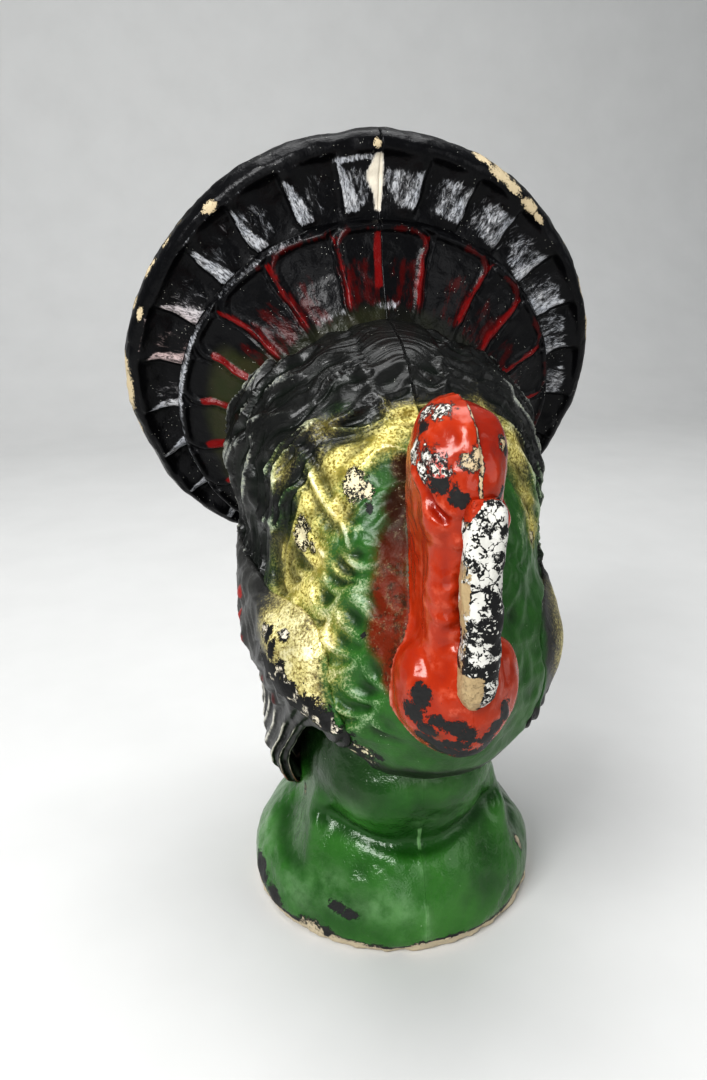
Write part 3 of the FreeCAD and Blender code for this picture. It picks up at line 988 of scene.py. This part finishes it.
def make_head(data):
    """Head, beaded neck and wattle, chipped at the crown and along the wattle's lower rim."""
    obj = new_mesh("head_casting", *data)
    p = points_of(obj)
    x, y, z = p.T
    beads = 0.5 + 0.3 * np.sin(z * 1.3 + 2.6 * noise(p, 9, 51)) * ramp(noise(p, 11, 52), -0.4, 0.5)
    beads += 0.6 * noise(p, 4.2, 55)
    neck = window(z, 112, 126, 184, 194)
    strip = bell(x + 5.0, 3.6) + 0.15
    height = 1.2 * neck * strip * (beads - 0.5) + 0.6 * fbm(p, 8, 53) + 0.2 * noise(p, 3, 54)
    # the cheek's crease runs down and forwards from behind the eye
    side = np.stack([np.abs(x), y, z], 1)
    gap = line_distance(side, [(13.5, -95, 201), (12.5, -99, 196), (11, -102, 190), (8.5, -106, 187)])
    height -= 1.7 * bell(gap, 1.3)
    height += 0.9 * bell(gap - 3.2, 1.5) * ramp(z, 184, 190) * (x < 0)
    # the bird's left half of the crown was glued on a little low
    height -= 1.9 * (x > 0) * ramp(z, 200, 212)
    near_body = ramp(body_field(*p.T), 0.3, 4)
    height *= near_body
    p = push_out(obj, p, height)
    x, y, z = p.T
    white_chips = [(-8.6, -89, 213.4, 3.8, 4.0, 3.0), (-6.0, -95.5, 214.8, 4.2, 5.0, 3.0),
                   (-13.6, -94, 204.2, 3.6, 4.6, 4.4), (-11.4, -101, 204.4, 4.0, 4.6, 3.6),
                   (-12.4, -100, 199.6, 3.6, 4.2, 4.2), (-9.6, -105, 201.0, 3.8, 4.0, 4.6)]
    tan_chips = [(-3.6, -110.4, 204.2, 3.6, 3.2, 2.6), (-1.0, -110.8, 205.5, 2.2, 3.0, 3.6),
                 (8.8, -104.6, 208.6, 2.0, 2.6, 3.4), (-0.4, -113.8, 198.2, 1.3, 2, 2.2)]
    black_chips = [(-10.8, -93.6, 210.6, 2.8, 3.2, 2.2), (-10.2, -106, 197.0, 3.6, 3.6, 3.2),
                   (-6.8, -110.0, 193.6, 4.2, 3.0, 3.0), (-7.4, -110.2, 197.2, 1.6, 1.6, 1.4),
                   (-2.8, -113.4, 197.6, 1.8, 1.6, 1.2), (6.8, -108.4, 194.5, 2.0, 2, 2.6),
                   (7.6, -105, 211.4, 1.8, 2.2, 1.8), (9.8, -104, 205.4, 1.4, 2.4, 2.4),
                   (-5.2, -110, 205.4, 1.8, 1.6, 1.0)]
    low_chips = [(-14.2, -103, 132.0, 3.2, 3.6, 4.6), (-16.4, -101.5, 126.0, 4.0, 4.0, 4.0),
                 (-13, -105, 120.8, 3.4, 4, 3.4), (-10.8, -108.4, 125.4, 5.4, 4, 2.0),
                 (-5.4, -111, 123.6, 5.4, 4, 2.8),
                 (-1.5, -111.8, 121.2, 3.6, 4, 4.0), (-9.4, -106.8, 116.2, 5.2, 5, 2.2),
                 (-4.6, -109.4, 117.0, 5.4, 5, 2.4), (11.9, -107.2, 126.0, 2.6, 4, 4.2),
                 (9.0, -109.2, 121.6, 3.6, 4, 3.4), (5.8, -109.8, 118.6, 3.6, 4, 2.6),
                 (-12.5, -102.5, 117.2, 4, 6, 2.6), (-7.0, -104, 113.6, 5, 6, 2.4),
                 (0.0, -105, 113.0, 6, 6, 2.6), (7.0, -105, 114.6, 5, 6, 2.8)]
    crack = 1.1 - np.abs(x + 0.7 * noise(p, 6, 57)) / (0.50 + 0.12 * ramp(-z, -212, -200))
    crack = np.where((z > 190) & (y < -82), crack, -1.0)
    light = np.maximum(chip_field(p, white_chips + tan_chips), crack)
    dark = chip_field(p, black_chips + low_chips)
    tan = ramp(np.maximum(chip_field(p, tan_chips), crack), -0.4, 0.0)
    core = ramp(light - np.maximum(dark, -0.3), 0.05, 0.55) + 0.10
    pink = ramp(chip_field(p, white_chips[5:]), -0.2, 0.4)
    over = 0.8 * blobs(p, [(-20, -80, 168, 6, 8, 16), (-22, -82, 146, 5, 8, 10)])
    over = np.maximum(over, 0.75 * blobs(p, [(-9.5, -105, 120, 4, 5, 3)]))
    # pale pink patches low on the bird's right where the wattle meets the breast: painted highlight
    pale = ramp(1 - near_body, 0.3, 1.0) * ramp(-z, -160, -120) * (x < 0)
    set_values(obj, chip=np.maximum(light, dark), core=core, tan=tan, pink=pink, height=height, over=over,
               pale=pale)
    dress_halves(obj, "head", red_paint())


def make_pedestal(data):
    """Foot and column with a seam down the front and a worn edge at the sole."""
    obj = new_mesh("pedestal_casting", *data)
    p = points_of(obj)
    x, y, z = p.T
    outside = pedestal_field(*p.T) > -WALL / 2
    height = 1.7 * fbm(p, 26, 71) + 0.7 * fbm(p, 9, 72)
    crease_z = 40 + 6.5 * (x / 36) ** 2 + 1.5 * noise(p, 18, 73)
    crease = bell(z - crease_z, 3.4) * ramp(-y, 22, 40)
    height -= 2.6 * crease
    flute = bell(np.abs(x) - 47 + 0.10 * (z - 30), 4.5) * ramp(-y, -6, 10) * ramp(z, 20, 30)
    height -= 2.0 * flute
    seam = bell(x, 1.2) * ramp(0.65 + noise(p, 11, 74), 0.2, 0.9) * (y < 0)
    height += 0.6 * seam * ramp(z, 3, 8)
    flat_foot = ramp(z, 0.6, 5)
    height = height * outside * flat_foot * (1 - ramp(z, 84, 90))
    ragged = (0.9 * noise(p, 5, 77) + 0.7 * noise(p, 2.4, 78)) * outside * ramp(-z, -4.0, -0.6)
    level = np.stack([np.ones(len(p)), np.ones(len(p)), flat_foot], 1)  # the sole stays level
    p = push_out(obj, p, height + ragged, level)
    chips = [(-58.5, -14, 11, 3.5, 8, 6.5), (-55, -28, 7, 4, 8, 4.5), (-42, -44, 3.5, 6, 6, 5),
             (-37, -49, 4, 5, 4, 3.6), (-33.5, -51, 17, 4.8, 3, 2.6), (-28.5, -54, 15, 4.5, 2.8, 2.0),
             (-36, -50, 19, 2.5, 2.5, 1.4), (47, -33, 22, 2.6, 2.8, 4.4), (-38, -12, 45, 1.3, 4, 3.4)]
    foot = 0.40 - (z - 4.0) / 2.2 + 0.9 * noise(p, 10, 79)
    foot = np.where(outside, foot, -1)
    chip = np.maximum(chip_field(p, chips), foot)
    core = np.maximum(0.15, ramp(foot + 0.7 * noise(p, 4, 80), 0.3, 0.8))
    core = np.maximum(core, ramp(chip_field(p, [chips[2], chips[7], chips[8]]), -0.1, 0.2))
    # paler patches on the front and the bird's right side of the pedestal: scuffed paint and painted
    # highlight where the light falls
    rub = blobs(p, [(-42, -20, 36, 6, 10, 14), (-33, -44, 24, 14, 9, 7), (-24, -45, 62, 8, 8, 8),
                    (-32, -52, 17, 14, 6, 3), (0, -54, 50, 12, 4, 3), (-16, -58, 20, 16, 8, 9),
                    (-46, -36, 16, 12, 12, 9), (-56, -8, 22, 8, 14, 12)])
    # painted shade on the top of the column under the belly, deepest on the bird's right
    shade = np.maximum(ramp(z, 50, 64) * ramp(-x, 4, 26), 0.7 * ramp(z, 64, 76))
    set_values(obj, chip=chip, core=core, height=height, rub=rub, seam=seam * outside, shade=shade)
    dress_halves(obj, "pedestal_shell", green_paint())


# ---------------------------------------------------------------- tail fan

LEAN = math.radians(17.5)
FAN_TOP = 300.0
FAN_RADIUS = 99.0
FAN_CENTRE = np.array((0.0, 56.0, FAN_TOP - FAN_RADIUS * math.cos(LEAN) - 0.3))
FAN_FRONT = np.array((0.0, -math.cos(LEAN), -math.sin(LEAN)))
FAN_UP = np.array((0.0, -math.sin(LEAN), math.cos(LEAN)))
OUTER_DROP = (FAN_CENTRE[2] - 139.0) / math.cos(LEAN)  # from the fan's centre down to its level lower edge
INNER_DROP = 5.0  # the inner tier is centred this much lower
RIM_ANGLES = [0, 30, 60, 80, 94, 106, 120, 130, 137, 145, 180]
RIM_RADII = [100.0, 99.6, 98.8, 99.0, 98.2, 95.6, 95.0, 92.5, 91.0, 91.0, 91.0]
OUTER_EDGES = np.array([-2.0, 12, 26, 40, 54, 68, 82, 96, 110, 124, 138, 152, 170, 190])
INNER_EDGES = np.array([-4.0, 16.5, 39, 56, 73, 89, 105, 121, 137, 153, 170, 190])
# Sections from the back round the rim to the front, as (share of the outline's radius, depth to the front)
OUTER_SECTION = [(0.0, -13.0), (0.35, -10.5), (0.70, -4.5), (0.955, 0.2), (0.99, 1.8), (1.0, 5.0),
                 (0.994, 9.0), (0.978, 12.0), (0.955, 13.2), (0.925, 11.8), (0.84, 11.0), (0.73, 13.5),
                 (0.55, 20.0), (0.0, 30.0)]
INNER_SECTION = [(0.0, 20.0), (0.60, 16.0), (0.93, 11.0), (0.985, 12.5), (1.0, 15.5), (0.985, 18.5),
                 (0.955, 19.6), (0.80, 25.0), (0.58, 38.0), (0.40, 50.0), (0.0, 54.0)]
RIM_CHIPS = {  # rows of (angle, radius, half width in degrees, half depth) by side
    -1: [(90, 98.0, 6.5, 2.4), (40.6, 96.0, 2.2, 2.0), (84, 99, 3.0, 1.4), (101, 97, 3, 1.3),
         (1, 96.4, 1.0, 1.8), (70, 96.5, 2.0, 1.2)],
    1: [(29, 97.8, 3.4, 2.2), (33, 96.8, 2.6, 2.0), (39, 95.6, 3.0, 2.4), (43, 95.0, 2.0, 1.4),
        (66, 98.8, 3.5, 1.6), (76, 98.6, 5.0, 1.8), (86, 99.0, 7.0, 1.5), (24, 99, 2.5, 1.0)]}


def trimmed(radius, angle, drop):
    """Outline trimmed level at a drop below its centre; angles are in degrees from the top."""
    down = -np.cos(np.radians(angle))
    return smooth_min(radius, np.where(down > 0.2, drop / np.maximum(down, 0.2), 400.0), 5.0)


def outer_rim(angle):
    """Outer tier's outline, pinched in towards the bottom."""
    return trimmed(np.interp(angle, RIM_ANGLES, RIM_RADII), angle, OUTER_DROP)


def inner_rim(angle):
    """Inner tier's outline: a little wider at the sides than at the top."""
    radius = 75.5 + 3.5 * np.sin(np.radians(np.minimum(angle, 180) * 0.95)) ** 2
    return trimmed(radius, angle, OUTER_DROP - INNER_DROP)


def feather_place(angle, edges, r):
    """Feather number, share of the way across it from its median side, and mm to its far edge."""
    index = np.clip(np.searchsorted(edges, angle) - 1, 0, len(edges) - 2)
    span = edges[index + 1] - edges[index]
    across = (angle - edges[index]) / span
    return index, across, (1 - across) * np.radians(span) * r


def outer_relief(r, angle, p):
    """Height of the outer tier's shingled feathers, and the masks for its white dry-brush."""
    wobble = angle + 1.6 * noise(p, 22, 81) + 0.8 * noise(p, 7, 82)
    index, across, edge_mm = feather_place(wobble, OUTER_EDGES, r)
    zone = window(r, 70, 75, 91.5, 94.5)
    swell = window(across, 0.0, 0.80, 0.86, 1.0)
    lip = bell(r - 93.8, 1.1)
    height = 2.6 * (swell - 0.45) * zone + 0.4 * zone * np.sin(across * 9 + index) * ramp(r, 74, 80)
    broad = 0.8 + 0.24 * np.clip(92 - r, 0, 20)
    bar = window(edge_mm, 1.2, 2.0, 1.4 + broad, 3.6 + broad) * window(r, 71, 74, 88, 94)
    scumble = (0.72 + 0.28 * ramp(across, 0.15, 0.5)) * (1 - ramp(across, 0.88, 0.96))
    scumble *= window(r, 72, 76, 86, 93)
    return {"height": height + 0.5 * lip, "bar": bar, "scumble": scumble, "lip": lip}


def inner_relief(r, angle, p, reach):
    """Height of the inner tier's panels with rounded, raised outlines, and its masks."""
    wobble = angle + 1.8 * noise(p, 20, 85) + 0.8 * noise(p, 7, 86)
    _, across, edge_mm = feather_place(wobble, INNER_EDGES, r)
    rim_mm = reach - r
    corner = 9.0
    qa, qb = np.maximum(corner - edge_mm, 0), np.maximum(corner - rim_mm, 0)
    inset = np.where((qa > 0) & (qb > 0), corner - np.sqrt(qa * qa + qb * qb), np.minimum(edge_mm, rim_mm))
    ridge = bell(inset - 2.4, 1.5) * ramp(r, 42, 52)
    dip = bell(np.minimum(inset, 20) - 0.2, 1.1) * ramp(r, 44, 54)
    dish = -np.sin(np.pi * np.clip(across, 0, 1)) * ramp(r, 44, 60)
    lip = bell(rim_mm - 1.0, 1.1)
    height = 1.5 * ridge - 1.1 * dip + 0.9 * dish + 1.2 * lip + 0.4 * fbm(p, 6, 87)
    return {"height": height, "ridge": ridge, "edge_mm": edge_mm, "lip": lip}


def resampled(section, front_from):
    """A section's shares and depths at close spacing, softened, and which points lie on its front."""
    section = np.array(section, float)
    lengths = np.concatenate([[0], np.cumsum(np.hypot(*(np.diff(section, axis=0) * (FAN_RADIUS, 1)).T))])
    marks = [0.0]
    while marks[-1] < lengths[-1]:
        share = np.interp(marks[-1], lengths, section[:, 0])
        marks.append(marks[-1] + (FAN_SPACING if share > 0.42 else 3.5))
    marks = np.array(marks[:-1] + [lengths[-1]])
    lines = [np.interp(marks, lengths, section[:, k]) for k in (0, 1)]
    for line in lines:
        line[1:-1] = np.convolve(line, (0.25, 0.5, 0.25), mode="same")[1:-1]
    return lines[0], lines[1], marks >= lengths[front_from]


def tier_faces(count, rows):
    """Faces of a swept half disc whose last two points are its poles, with one face on the median plane."""
    back, tip = count * rows, count * rows + 1
    faces = []
    for i in range(count - 1):
        a, b = i * rows, (i + 1) * rows
        faces += [(a + j, a + j + 1, b + j + 1, b + j) for j in range(rows - 1)]
        faces += [(back, a, b), (a + rows - 1, tip, b + rows - 1)]
    last = (count - 1) * rows
    return faces + [[back, *range(rows), tip, *range(last + rows - 1, last - 1, -1)]]


def fan_tier(name, section, front_from, side, inner):
    """Closed half disc swept from a section; returns it with its points in the fan's frame and its masks."""
    share, depth, front = resampled(section, front_from)
    rows = len(share) - 2
    angles = np.linspace(0, 180, FAN_COUNT)
    angle = np.repeat(angles, rows)
    reach = np.repeat((inner_rim if inner else outer_rim)(angles), rows)
    r = reach * np.tile(share[1:-1], FAN_COUNT)
    front = np.tile(front[1:-1], FAN_COUNT)
    drop = INNER_DROP if inner else 0.0
    sine, cosine = side * np.sin(np.radians(angle)), np.cos(np.radians(angle))
    flat = np.stack([r * sine, r * cosine - drop, np.tile(depth[1:-1], FAN_COUNT)], 1)
    masks = inner_relief(r, angle, flat, reach) if inner else outer_relief(r, angle, flat)
    rough = 0.55 * fbm(flat, 12, 91) + 0.25 * fbm(flat, 4, 92)
    if not inner:
        r = r + ramp(r, 0.88 * reach, reach) * (0.9 * fbm(flat, 16, 93) + 0.45 * fbm(flat, 5, 94))
        flat[:, 0], flat[:, 1] = r * sine, r * cosine
    flat[:, 2] += np.where(front, masks["height"], 0) + rough
    flat[(angle < 0.01) | (angle > 179.99), 0] = 0.0
    flat = np.concatenate([flat, [(0, -drop, depth[0]), (0, -drop, depth[-1])]])
    world = FAN_CENTRE + flat[:, :1] * (1, 0, 0) + flat[:, 1:2] * FAN_UP + flat[:, 2:] * FAN_FRONT
    world[:, 0] += side * SEAM
    obj = new_mesh(name, world, tier_faces(FAN_COUNT, rows))
    masks.update(angle=angle, r=r)
    masks = {key: np.append(values, [0.0, 0.0]) for key, values in masks.items()}
    masks["front"] = np.append(front, [False, True])
    strokes = np.stack([np.radians(masks["angle"]) * 80 * side, masks["r"], flat[:, 2] * 0.3], 1)
    set_vectors(obj, "fan_uv", strokes)
    return obj, flat, masks


def make_outer_fan(side, suffix, paint):
    """One half of the outer tier; its right feathers have white bars and its left ones a soft scumble."""
    obj, flat, masks = fan_tier(f"tail_outer_{suffix}_skin", OUTER_SECTION, 8, side, False)
    bar, scumble, lip = (masks[k] for k in ("bar", "scumble", "lip"))
    angle, r, front = (masks[k] for k in ("angle", "r", "front"))
    patchy = 0.5 + 0.5 * noise(flat, 9, 95)
    arc = np.radians(angle) * r
    if side < 0:
        white = (1.12 - 0.2 * ramp(angle, 0, 20) * ramp(-angle, -60, -30)) * bar
        first = np.maximum(0.62, 0.74 * (1 - ramp(angle, 10, 14)))
        white = np.maximum(white, first * scumble * (0.6 + 0.4 * patchy) * ramp(-angle, -122, -98))
        wide = 3.4 * bell(r - 85, 5.5) + 0.9
        strokes = 0.92 * bell(r - 91.5, 1.6) * (1 - ramp(arc, 14, 24))
    else:
        white = 0.20 * bar + 0.80 * scumble * (0.66 + 0.34 * patchy) * ramp(-angle, -105, -88)
        wide = 0.7 * bell(r - 84, 6.0) + 0.3
        strokes = 0.0
    wedge = (1 - ramp(arc, wide, wide + 1.6)) * window(r, 71, 73, 92.5, 94.5)
    white = np.maximum(np.maximum(white, 1.15 * wedge), strokes)
    # the pale lines along the raised lip of the outer tier are painted highlight
    side_lip = bell(r - 94.5, 1.6) * ramp(angle, 16, 32) * (side < 0)
    white = np.maximum(white, 0.62 * side_lip * (0.5 + 0.5 * patchy))
    white = np.maximum(white, 0.50 * lip * (0.5 + 0.5 * patchy) * (1 - ramp(angle, 25, 40)))
    scuffs = 0.12 + 0.22 * noise(flat, 24, 99) + 0.12 * noise(flat, 6, 104)
    pink = bell(angle - 76, 10) * (side < 0) + 0.4 * wedge * ramp(-r, -78, -73)
    chip = np.full(len(r), -1.0)
    for centre, radius, half_width, half_depth in RIM_CHIPS[side]:
        chip = np.maximum(chip, 1 - np.hypot((angle - centre) / half_width, (r - radius) / half_depth))
    chip = np.where(flat[:, 2] > 2.0, chip, -1.0)
    worn_edge = 0.05 - np.abs(flat[:, 2] - 6.5) / 5 + 0.7 * noise(flat, 7, 96) - 0.15 * (side < 0)
    chip = np.maximum(chip, np.where((r > 97.5) & (angle > 45) & (angle < 125), worn_edge, -1.0))
    set_values(obj, white=np.where(front, white, scuffs), pink=pink, cream=wedge, chip=chip,
               core=np.ones(len(r)), height=masks["height"])
    dress(obj, paint, f"tail_outer_{suffix}")


def make_inner_fan(side, suffix, paint):
    """One half of the inner tier with its red strokes."""
    obj, flat, masks = fan_tier(f"tail_inner_{suffix}_skin", INNER_SECTION, 4, side, True)
    ridge, edge_mm, lip = (masks[k] for k in ("ridge", "edge_mm", "lip"))
    angle, r, front = (masks[k] for k in ("angle", "r", "front"))
    patchy = 0.5 + 0.5 * noise(flat, 8, 97)
    low = ramp(angle, 60, 68) * (side < 0)
    bars = bell(edge_mm - 3.4, 1.7) * window(r, 53, 56, 68, 72)
    stroke = window(edge_mm, 0.6, 1.8, 2.5, 5.5) * window(r, 47, 52, 74, 77)
    fill = (1 - ramp(edge_mm, 11, 19)) * window(r, 45, 50, 60, 68)
    roots = ramp(-r, -54, -46)
    if side < 0:
        hook = 0.66 * ridge * ramp(r, 62, 68) * (1 - ramp(angle, 34, 44))
        red = low * bars * 1.1 + (1 - low) * np.maximum(0.70 * stroke, 0.66 * fill)
        green = low * ramp(-r, -73, -62) + 0.6 * ramp(angle, 30, 60) * ramp(-r, -62, -50)
        green = np.maximum(green, 0.6 * roots)
    else:
        hook = 0.86 * ridge * ramp(r, 58, 64) * (1 - ramp(edge_mm, 14, 20)) * (1 - 0.5 * ramp(angle, 70, 90))
        red = np.maximum(0.95 * stroke, 0.58 * fill)
        green = 0.4 * roots
    seam_red = (side < 0) * (1 - ramp(np.radians(angle) * r, 2.5, 4.0)) * ramp(r, 52, 55)
    reach = inner_rim(angle)
    band = ramp(r, reach - 4.2, reach - 3.0) * front
    red = np.maximum(np.maximum(red, 0.95 * seam_red) * (1 - 0.6 * band), hook)
    # the pale line along the raised lip is partly worn paint and partly painted highlight
    white = 0.66 * lip * (0.6 + 0.4 * patchy) * ramp(angle, 14, 24) * (1.1 if side < 0 else 0.8)
    white += 0.22 * band * window(angle, 62, 74, 86, 98) * (side < 0)
    # white-grey mottling round the tier's root: worn paint and painted highlight
    root_wear_and_sheen = bell(r - 48.5, 2.6) * ramp(noise(flat, 8, 98), -0.1, 0.6)
    white = np.maximum(white, 0.62 * root_wear_and_sheen * (1 - ramp(angle, 45, 60)))
    none = np.zeros(len(r))
    set_values(obj, white=white * front, red=red * front, green=green * front, pink=none, cream=none,
               bright=ramp(stroke + low * bars + seam_red, 0.2, 0.9), chip=none - 1, core=none,
               height=masks["height"])
    dress(obj, paint, f"tail_inner_{suffix}")


# ---------------------------------------------------------------- snood

SNOOD_SHIFT = 1.4  # how far it hangs to the bird's right of the CAD's snood
SQUARENESS = 3.2  # exponent of its section: 2 is an ellipse, more is squarer


def make_snood():
    """Flattened roll of pulp hanging in front of the face, squarish in section, with a torn tip."""
    lo, hi = (np.array(v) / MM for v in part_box("snood"))
    centre_x = (lo[0] + hi[0]) / 2 - SNOOD_SHIFT
    rows = np.array([(131.2, 1.2, -112.5, -108.5), (132.4, 3.0, -114.5, -106.5), (135, 4.8, -116.5, -104.5),
                     (140, 5.5, -117.6, -104), (150, 5.8, -118.6, -104), (168, 5.9, -119.2, -104),
                     (179, 6.0, -118.6, -106), (185, 5.9, -117.6, -106), (189.5, 5.6, -116.4, -106),
                     (192, 5.2, -115.0, -107), (194, 4.2, -113.2, -109)], float)
    count, around = SNOOD_RINGS, SNOOD_AROUND
    z = np.interp(np.linspace(0, 1, count), np.linspace(0, 1, len(rows)), rows[:, 0])
    z = 0.4 * z + 0.6 * np.linspace(rows[0, 0], rows[-1, 0], count)
    t = np.linspace(0, 2 * np.pi, around, endpoint=False)
    c, s = np.cos(t), np.sin(t)
    square = (np.abs(c) ** SQUARENESS + np.abs(s) ** SQUARENESS) ** (-1 / SQUARENESS)
    rings = []
    for height in z:
        w, front, back = (np.interp(height, rows[:, 0], rows[:, k]) for k in (1, 2, 3))
        sway = 0.7 * math.sin(height / 10) - 1.6 * (1 - (height - 131) / 64) + 0.9
        from_front = (back - front) / 2 * (1 + s * square)
        rings.append(np.stack([centre_x + sway + w * c * square + 0.15 * from_front, front + from_front,
                               np.full(around, height)], 1))
    ends = [rings[0].mean(0) - (0, 0, 0.3), rings[-1].mean(0) + (0, 0, 0.3)]
    p = np.concatenate(rings + [np.array(ends)])
    bottom, top = count * around, count * around + 1
    last = bottom - around
    faces = []
    for j, k in zip(range(around), np.roll(range(around), -1)):
        faces += [(i + j, i + k, i + around + k, i + around + j) for i in range(0, last, around)]
        faces += [(k, j, bottom), (last + j, last + k, top)]
    obj = new_mesh("snood_skin", p, faces)
    height = 0.9 * noise(p, 9, 100) + 0.6 * fbm(p, 5, 101) + 0.25 * fbm(p, 2.5, 102)
    p = push_out(obj, p, height)
    x, _, z = p.T
    across = x - centre_x + 1.6 * (1 - (z - 131) / 64) - 0.9
    right_edge = ramp(-across, 3.6, 5.2) * (0.60 + 0.6 * noise(p, 7, 103) + 0.30 * ramp(-z, -165, -150))
    tip = ramp(-z, -146, -142) * ramp(-across, -3.0, 0.5)
    tan = np.maximum(right_edge * (1 - 0.6 * ramp(z, 176, 186)), tip)
    bare = 0.20 + 0.42 * ramp(z, 153.5, 155.5) * ramp(-z, -164, -160) + 0.18 * ramp(-z, -155, -152)
    bare += 0.30 * ramp(z, 142, 144) * ramp(-z, -149, -146) + 0.12 * ramp(z, 186, 189) * ramp(-across, -1, 1)
    bare += 0.45 * blob(p, (centre_x + 2.6, -119, 167), (2.4, 6, 4.5)) + 0.10 * ramp(across, 2.5, 4.5)
    corner = z + 1.2 * np.maximum(-across - 0.5, 0)
    set_values(obj, tan=tan, bare=bare, red=ramp(corner, 192.5, 195.5))
    dress(obj, snood_paint(), "snood")


# ---------------------------------------------------------------- build

pieces = solid_pieces()
make_body(pieces["body_shell"])
make_wings(pieces["wing"])
make_head(pieces["head"])
make_pedestal(pieces["pedestal_shell"])
outer_paint = fan_paint("outer_fan_paint", False)
inner_paint = fan_paint("inner_fan_paint", True)
for side, suffix in SIDES:
    make_outer_fan(side, suffix, outer_paint)
    make_inner_fan(side, suffix, inner_paint)
make_snood()

card = paper_material("grey_card", (0.46, 0.41, 0.33), (0.33, 0.29, 0.23), 1.6)
strip = paper_material("strip_paper", (0.70, 0.63, 0.50), (0.55, 0.47, 0.35), 1.0)
for node, material in (("base_disc", card), ("body_seam_strip", strip), ("pedestal_seam_strips", strip)):
    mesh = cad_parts[node].data
    mesh.materials.clear()
    mesh.materials.append(material)


# ---------------------------------------------------------------- floor, light and camera

def make_stage():
    """Pale floor that curves up into a pale backdrop."""
    profile = [(-2.5, 0.0)] + [(0.9 + 0.5 * math.sin(a), 0.5 - 0.5 * math.cos(a))
                               for a in np.linspace(0, math.pi / 2, 16)] + [(1.4, 3.0)]
    vertices = [(x, y, z - 0.0002) for x in (-3.0, 3.0) for y, z in profile]
    n = len(profile)
    faces = [(i, i + 1, n + i + 1, n + i) for i in range(n - 1)]
    mesh = bpy.data.meshes.new("backdrop")
    mesh.from_pydata(vertices, [], faces)
    mesh.shade_smooth()
    floor = add_object("backdrop", mesh)
    m = Paint("backdrop")
    m.color = m.mix(m.noise(60.0), (0.60, 0.60, 0.59), (0.66, 0.66, 0.65))
    m.rough = 0.7
    m.bump(m.noise(8.0), 0.3, 0.1)
    mesh.materials.append(m.finish(0.0, 0.0, 0.5))


LIGHT_TARGET = Vector((0, 0, 0.16))  # the middle of the figure


def area_light(name, place, size, watts):
    """Rectangular light that points at the figure."""
    data = bpy.data.lights.new(name, "AREA")
    data.shape = "RECTANGLE"
    data.size, data.size_y = size
    data.energy = watts
    light = add_object(name, data)
    light.location = place
    light.rotation_euler = (LIGHT_TARGET - Vector(place)).to_track_quat("-Z", "Y").to_euler()


make_stage()
area_light("key", (-0.75, -0.75, 1.0), (0.6, 0.6), 13)
area_light("fill", (0.95, -0.8, 0.55), (0.8, 0.8), 2.5)
area_light("top", (0.0, 0.25, 1.25), (1.0, 0.8), 8)
area_light("front_strip", (-0.25, -1.2, 0.5), (0.3, 0.8), 1.5)

world = bpy.data.worlds.new("studio")
world.use_nodes = True
background = world.node_tree.nodes["Background"]
background.inputs["Color"].default_value = (0.85, 0.88, 0.92, 1)
background.inputs["Strength"].default_value = 0.28
bpy.context.scene.world = world

SENSOR = 36.0  # mm, along the picture's height
LENS = 0.8564815 * SENSOR
SHIFT = -0.034722222  # sideways shift of the frame, as a share of its height
HEADING = math.radians(12.6)  # how far the camera looks towards the bird's left
PITCH = math.radians(18.3)  # how far it looks down
REACH = 0.349  # its distance in front of the middle
camera_data = bpy.data.cameras.new("camera")
camera_data.sensor_width = SENSOR
camera_data.lens = LENS
camera_data.shift_x = SHIFT
camera_data.clip_start = 0.01
camera = add_object("camera", camera_data)
camera.location = (-REACH * math.sin(HEADING), -REACH * math.cos(HEADING), 0.262)
look = Vector((math.sin(HEADING) * math.cos(PITCH), math.cos(HEADING) * math.cos(PITCH), -math.sin(PITCH)))
camera.rotation_euler = look.to_track_quat("-Z", "Y").to_euler()
scene = bpy.context.scene
scene.camera = camera
scene.view_settings.view_transform = "Standard"
scene.view_settings.look = "High Contrast"
